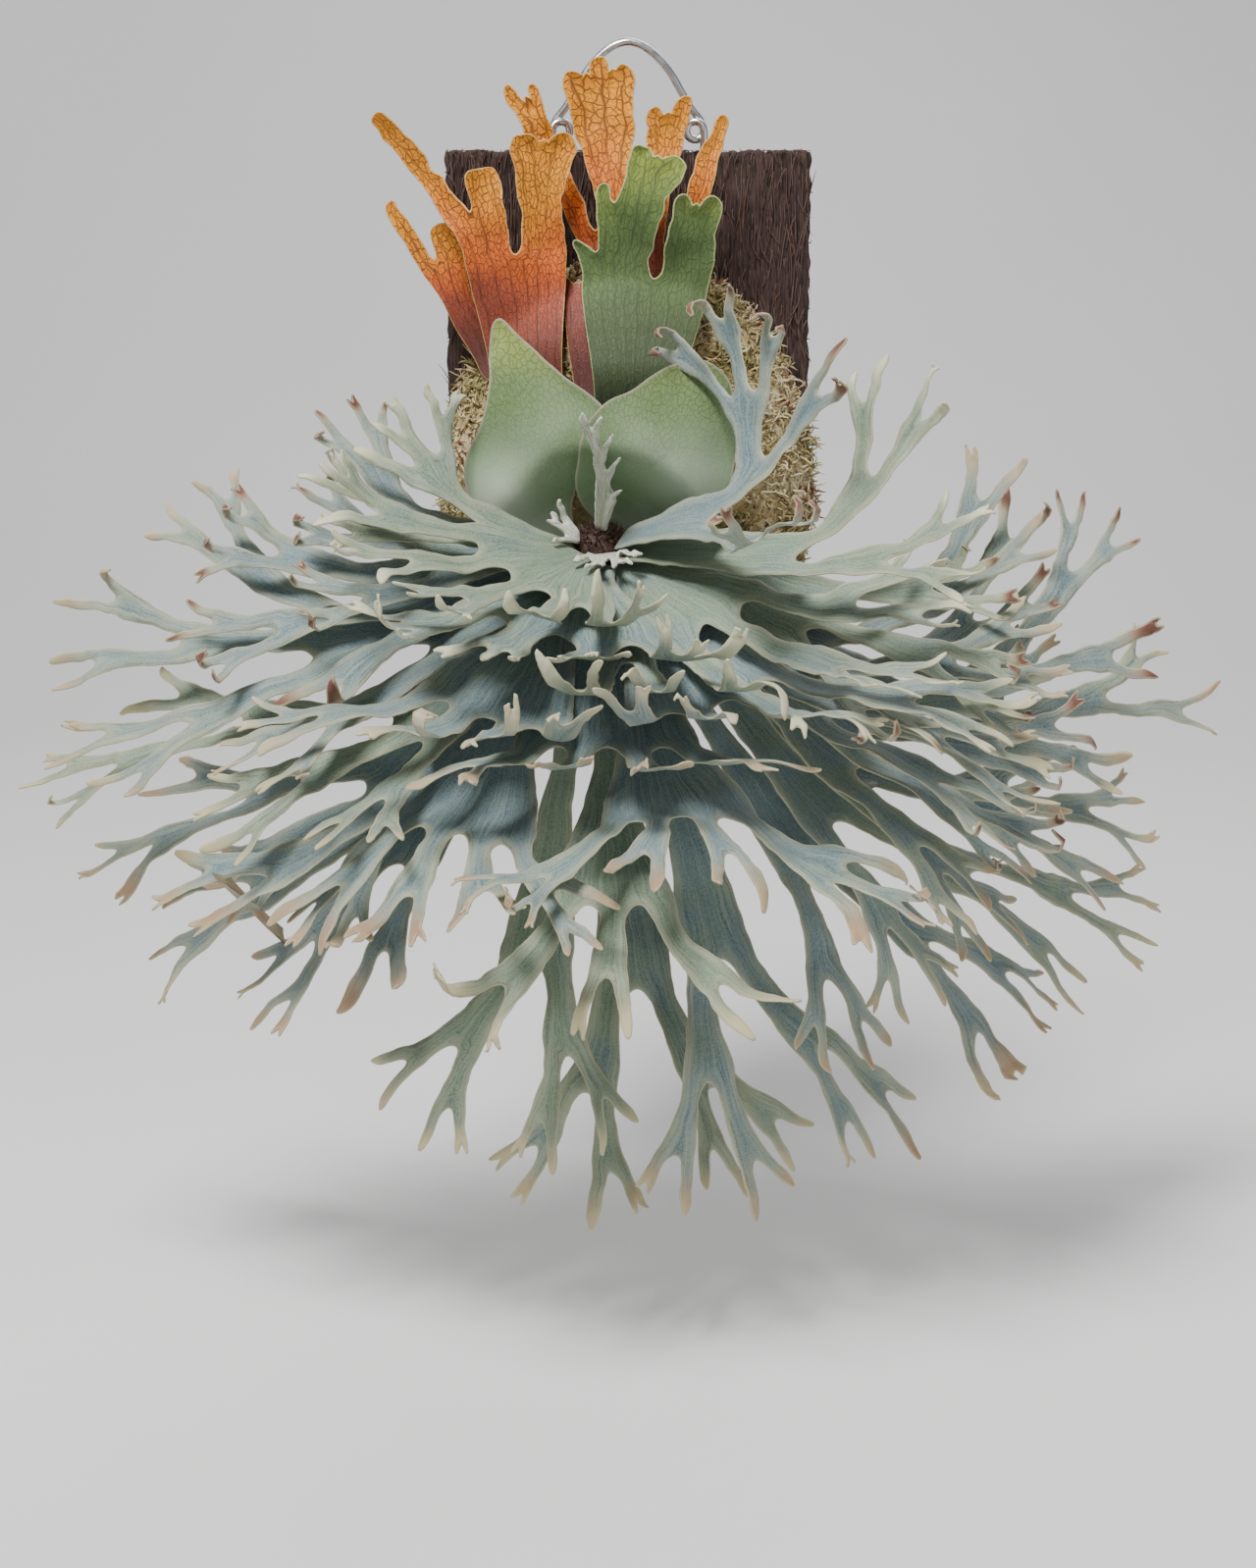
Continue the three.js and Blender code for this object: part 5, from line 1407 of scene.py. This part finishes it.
def fibre_material(colours):
    """Tree-fern fibre: nearly black between its fibres and red-brown on them."""
    made = Material("tree-fern fibre")
    fibres, patches = made.group("Fibres")
    colour = made.over(
        colours.fibre_dark,
        (made.eased(fibres, 0.36, 0.64), colours.fibre_red),
        (made.eased(patches, 0.5, 0.75, 0.0, 0.5), colours.fibre_grey))
    return made.finish(colour, made.eased(fibres, 0.3, 0.7, 0.95, 0.7), fibres, 1.2)


def loose_fibre_material(colours):
    """Loose fibres and hairs, lighter towards their ends."""
    made = Material("loose fibres")
    tone = made.read("tone")
    colour = made.over(
        colours.fibre_red,
        (tone, colours.fibre_grey),
        (made.eased(made.read("along"), 0.3, 1.0, 0.0, 0.6), colours.fibre_tip))
    return made.finish(colour, made.eased(tone, 0.0, 1.0, 0.7, 0.9))


def wire_material(colours):
    """Dull drawn wire with fine scratches along it and a little grime."""
    made = Material("drawn wire")
    scratches = made.noise(made.place(), 1600.0, 4.0, 0.7)
    grime = made.noise(made.place(), 110.0, 4.0, 0.6)
    colour = made.over(colours.wire_bright, (made.eased(grime, 0.52, 0.75, 0.0, 0.7), colours.wire_dull))
    return made.finish(colour, made.eased(grime, 0.4, 0.75, 0.24, 0.5), scratches, 0.04, 0.3,
                       {"Metallic": 1.0})


def floor_material():
    """Plain pale floor, very slightly mottled."""
    made = Material("pale floor")
    colour = made.over(FLOOR_PALE, (made.noise(made.place(), 3.0, 3.0), FLOOR_PALER))
    return made.finish(colour, 0.9)


# ---------------------------------------------------------------- settings
def length_setting(name, description, millimetres):
    return bpy.props.FloatProperty(name=name, description=description, default=millimetres * MM,
                                   subtype="DISTANCE", unit="LENGTH")


def colour_setting(name, description, code):
    return bpy.props.FloatVectorProperty(name=name, description=description, default=linear(code),
                                         subtype="COLOR", min=0.0, max=1.0)


class FernSizes(bpy.types.PropertyGroup):
    """Sizes and counts that a user would change."""

    blade_thickness: length_setting("Blade", "Thickness of an antler frond's blade", 1.4)
    shield_thickness: length_setting("Shield", "Thickness of a shield frond", 1.2)
    margin_thickness: length_setting("Margin", "Thickness of a blade at its edge", 0.6)
    ruffle: length_setting("Ruffle", "How far the antler blades wave off their bowls", 6.0)
    tip_curl: bpy.props.FloatProperty(
        name="Tip curl", description="How far a 26 mm tip turns off its blade, in degrees", default=30.0)
    tip_twist: bpy.props.FloatProperty(
        name="Tip twist", description="How far a tip turns about its length, in degrees", default=26.0)
    moss_strands: bpy.props.IntProperty(
        name="Moss strands", description="Strands of moss on the mound", default=7200)
    strand_length: length_setting("Strand length", "Length of a strand of moss", 8.5)
    slab_fibres: bpy.props.IntProperty(
        name="Slab fibres", description="Loose fibres on the slab", default=3200)
    bud_hairs: bpy.props.IntProperty(name="Bud hairs", description="Hairs on the rhizome", default=1500)


class FernColours(bpy.types.PropertyGroup):
    """Colours of the plant, the moss and the slab."""

    blade_sage: colour_setting("Blade sage", "Antler blade in its green patches", "#647a60")
    blade_blue: colour_setting("Blade blue", "Antler blade in its cool patches", "#56717e")
    blade_dark: colour_setting("Blade dark", "Antler blade of the darker fronds", "#34494a")
    blade_bloom: colour_setting("Blade bloom", "Pale felt near an antler blade's margin", "#a3a384")
    blade_felt: colour_setting("Blade felt", "Single hairs and streaks on an antler blade", "#a2aa98")
    tip_fresh: colour_setting("Tip fresh", "Tip of a young antler frond", "#d5d3b2")
    tip_cream: colour_setting("Tip cream", "Tip of a fresh frond", "#c2b48b")
    tip_tan: colour_setting("Tip tan", "Tip of a warm frond", "#a9835f")
    tip_dried: colour_setting("Tip dried", "Dried tip of an old frond", "#602a22")
    margin_colour: colour_setting("Margin", "Edge of an antler blade", "#c0b894")
    young_white: colour_setting("Young white", "Felt of a new frond", "#dcd9ca")
    young_green: colour_setting("Young green", "Blade of a new frond", "#96a489")
    # The orange shields' mauve foot, darkened as painted shade for the shadow that falls between the shields.
    shield_mauve_and_shade: colour_setting("Shield mauve", "Foot of an orange shield", "#5c3029")
    shield_salmon: colour_setting("Shield salmon", "Middle of an orange shield", "#9c452b")
    shield_orange: colour_setting("Shield orange", "Upper part of an orange shield", "#ea6a18")
    shield_gold: colour_setting("Shield gold", "Top of an orange shield", "#f79c0c")
    vein_dark: colour_setting("Dark veins", "Veins of an orange shield", "#3f1a08")
    # The green shield's own lower green, darkened further as painted shade.
    shield_green: colour_setting("Shield green", "Lower part of a green shield", "#434f2e")
    shield_leaf: colour_setting("Shield leaf", "Middle of a green shield", "#566e33")
    shield_fresh: colour_setting("Shield fresh", "Belly of a round shield", "#5f7c4f")
    shield_bloom: colour_setting("Shield bloom", "Pale felt on a round shield", "#a9b4a0")
    shield_lime: colour_setting("Shield lime", "Top of a green shield", "#8a9838")
    shield_blue: colour_setting("Shield cool", "Cool patches of a green shield", "#55673f")
    vein_green: colour_setting("Green veins", "Veins of a green shield", "#2c3d22")
    margin_gold: colour_setting("Orange margin", "Edge of an orange shield", "#e0b06a")
    margin_green: colour_setting("Green margin", "Edge of a green shield", "#c3c88c")
    margin_mauve: colour_setting("Round margin", "Edge of a round shield", "#a89a8c")
    dry_brown: colour_setting("Dry brown", "Old shield, dark", "#6d5138")
    dry_straw: colour_setting("Dry straw", "Old shield, pale", "#b39a72")
    moss_green: colour_setting("Moss green", "Greener moss", "#8c8250")
    moss_straw: colour_setting("Moss straw", "Straw-coloured moss", "#bfa877")
    moss_pale: colour_setting("Moss pale", "Palest moss", "#dccfa6")
    moss_red: colour_setting("Moss red", "Red-brown bits in the moss", "#8f4a38")
    moss_dark: colour_setting("Moss dark", "Shade between the strands", "#4b3f26")
    fibre_dark: colour_setting("Fibre dark", "Between the slab's fibres", "#140d0b")
    fibre_red: colour_setting("Fibre red", "The slab's fibres", "#4a312a")
    fibre_grey: colour_setting("Fibre grey", "Weathered fibres", "#5a4841")
    fibre_tip: colour_setting("Fibre tip", "Ends of loose fibres", "#6a5244")
    wire_bright: colour_setting("Wire bright", "Clean wire", "#d4d5d8")
    wire_dull: colour_setting("Wire dull", "Dull wire", "#83817f")


# ---------------------------------------------------------------- operators
class FERN_OT_effects(bpy.types.Operator):
    """Make the effects that several materials share"""

    bl_idname = "fern.effects"
    bl_label = "Shared effects"

    def execute(self, context):
        for make in (felt_group, margin_group, vein_group, fibre_group):
            make()
        return {"FINISHED"}


class FERN_OT_slab(bpy.types.Operator):
    """Build the fibre slab and its loose fibres"""

    bl_idname = "fern.slab"
    bl_label = "Slab"

    def execute(self, context):
        sizes, colours = context.scene.fern_sizes, context.scene.fern_colours
        place_piece("slab_board", slab_mesh(), fibre_material(colours), "fibre", "slab")
        place_piece("slab_fibres", slab_fibre_mesh(sizes), loose_fibre_material(colours), "fibre")
        return {"FINISHED"}


class FERN_OT_wire(bpy.types.Operator):
    """Build the hanging wire"""

    bl_idname = "fern.wire"
    bl_label = "Wire"

    def execute(self, context):
        drawn = wire_material(context.scene.fern_colours)
        place_piece("hanging_wire", wire_mesh(), drawn, "wire", "wire_bail")
        return {"FINISHED"}


class FERN_OT_rhizome(bpy.types.Operator):
    """Build the rhizome and the hairs of its bud"""

    bl_idname = "fern.rhizome"
    bl_label = "Rhizome"

    def execute(self, context):
        scene = context.scene
        hairy = bpy.data.materials.get("loose fibres") or loose_fibre_material(scene.fern_colours)
        place_piece("rhizome_core", rhizome_core_mesh(), hairy, "bud", "rhizome")
        place_piece("bud_hairs", bud_hair_mesh(scene.fern_sizes), hairy, "bud")
        return {"FINISHED"}


class FERN_OT_shields(bpy.types.Operator):
    """Build the shield fronds, and the moss wherever they leave it bare"""

    bl_idname = "fern.shields"
    bl_label = "Shields and moss"

    def execute(self, context):
        sizes, colours = context.scene.fern_sizes, context.scene.fern_colours
        green, orange = green_material(colours), orange_material(colours)
        fresh, old = round_material(colours), old_material(colours)
        covers = []
        for seed, one in enumerate(LOBED_SHIELDS, start=1):
            mesh, cover = lobed_shield_mesh(sizes, one, seed)
            if one.name == "shield_frond_green":
                place_piece(mesh.name, mesh, green, "shield_green", one.name)
            else:
                place_piece(mesh.name, mesh, orange, "shield_orange", one.name)
            covers.append(cover)
        for seed, one in enumerate(ROUND_SHIELDS, start=11):
            mesh, cover = round_shield_mesh(sizes, one, seed)
            if "old" in one.name:
                place_piece(mesh.name, mesh, old, "shield_old", one.name)
            else:
                place_piece(mesh.name, mesh, fresh, "shield_green", one.name)
            covers.append(cover)
        moss = moss_material(colours)
        place_piece("moss_core", moss_core_mesh(), moss, "moss", "moss_mound")
        for mesh in moss_strand_meshes(sizes, covers):
            place_piece(mesh.name, mesh, moss, "moss")
        return {"FINISHED"}


class FERN_OT_antlers(bpy.types.Operator):
    """Build the antler fronds and the young fronds, one piece each"""

    bl_idname = "fern.antlers"
    bl_label = "Antler fronds"

    def execute(self, context):
        sizes, colours = context.scene.fern_sizes, context.scene.fern_colours
        felt, white = antler_material(colours), young_material(colours)
        for seed, one in enumerate(FRONDS, start=101):
            mesh = antler_mesh(sizes, one, seed)
            if one.name.startswith("young"):
                place_piece(mesh.name, mesh, white, "young", one.name)
            else:
                place_piece(mesh.name, mesh, felt, "antler", one.name)
        return {"FINISHED"}


FLOOR_LEVEL = -0.5
FLOOR_PALE, FLOOR_PALER = (0.74, 0.74, 0.73), (0.79, 0.79, 0.78)
FLOOR_HALF_WIDTH = 15000
SWEEP = {"front": -6000, "from": 1600, "radius": 900, "top": 6000}  # the floor's rise into a wall, in mm
LIGHTS = (
    ("key", (-0.6, -1.3, 2.1), 0.8, 112.0),
    ("fill", (1.9, -1.6, 0.4), 1.8, 10.0),
    ("back", (0.5, 1.4, 1.6), 1.2, 24.0),
)
LIGHTS_AIM = (0.0, -0.1, -0.1)
WORLD = {"colour": (0.85, 0.87, 0.9, 1), "strength": 0.26}
CAMERA_PLACE = (0.0, -1.6007, 0.1197)
CAMERA_PITCH = -12
CAMERA_LENS = 60.08


class FERN_OT_stage(bpy.types.Operator):
    """Set the floor, the lights and the camera"""

    bl_idname = "fern.stage"
    bl_label = "Stage"

    def execute(self, context):
        scene = context.scene
        start, radius = SWEEP["from"], SWEEP["radius"]
        profile = [(SWEEP["front"], 0)]
        profile += [(start + radius * math.sin(turn), radius - radius * math.cos(turn))
                    for turn in np.linspace(0, math.pi / 2, 25)]
        profile.append((start + radius, SWEEP["top"]))
        points = [(x, y, FLOOR_LEVEL / MM + z) for y, z in profile
                  for x in (-FLOOR_HALF_WIDTH, FLOOR_HALF_WIDTH)]
        quads = [(2 * i, 2 * i + 1, 2 * i + 3, 2 * i + 2) for i in range(len(profile) - 1)]
        mesh = new_mesh("floor", points, quads)
        mesh.materials.append(floor_material())
        floor = bpy.data.objects.new("floor", mesh)
        scene.collection.objects.link(floor)
        for name, place, size, power in LIGHTS:
            lamp = bpy.data.lights.new(name, "AREA")
            lamp.size = size
            lamp.energy = power
            light = bpy.data.objects.new(name, lamp)
            light.location = place
            aim = Vector(LIGHTS_AIM) - Vector(place)
            light.rotation_euler = aim.to_track_quat("-Z", "Y").to_euler()
            scene.collection.objects.link(light)
        world = bpy.data.worlds.new("soft studio")
        world.use_nodes = True
        background = world.node_tree.nodes["Background"]
        background.inputs["Color"].default_value = WORLD["colour"]
        background.inputs["Strength"].default_value = WORLD["strength"]
        scene.world = world
        lens = bpy.data.cameras.new("camera")
        lens.lens = CAMERA_LENS
        camera = bpy.data.objects.new("camera", lens)
        camera.location = CAMERA_PLACE
        camera.rotation_euler = (math.radians(90 + CAMERA_PITCH), 0, 0)
        scene.collection.objects.link(camera)
        scene.camera = camera
        return {"FINISHED"}


class FERN_PT_panel(bpy.types.Panel):
    """Lists the fern's pieces and settings"""

    bl_idname = "FERN_PT_panel"
    bl_label = "Staghorn fern"
    bl_space_type = "VIEW_3D"
    bl_region_type = "UI"
    bl_category = "Fern"

    def draw(self, context):
        for operator in OPERATORS:
            self.layout.operator(operator.bl_idname)
        for settings in (context.scene.fern_sizes, context.scene.fern_colours):
            box = self.layout.box()
            for name in settings.__annotations__:
                box.prop(settings, name)


OPERATORS = (FERN_OT_effects, FERN_OT_stage, FERN_OT_slab, FERN_OT_wire, FERN_OT_rhizome, FERN_OT_shields,
             FERN_OT_antlers)
CLASSES = (FernSizes, FernColours, *OPERATORS, FERN_PT_panel)


def register():
    for one in CLASSES:
        bpy.utils.register_class(one)
    bpy.types.Scene.fern_sizes = bpy.props.PointerProperty(type=FernSizes)
    bpy.types.Scene.fern_colours = bpy.props.PointerProperty(type=FernColours)


def unregister():
    del bpy.types.Scene.fern_colours
    del bpy.types.Scene.fern_sizes
    for one in reversed(CLASSES):
        bpy.utils.unregister_class(one)


def main():
    register()
    for operator in OPERATORS:
        group, name = operator.bl_idname.split(".")
        getattr(getattr(bpy.ops, group), name)()


if __name__ == "__main__":
    main()
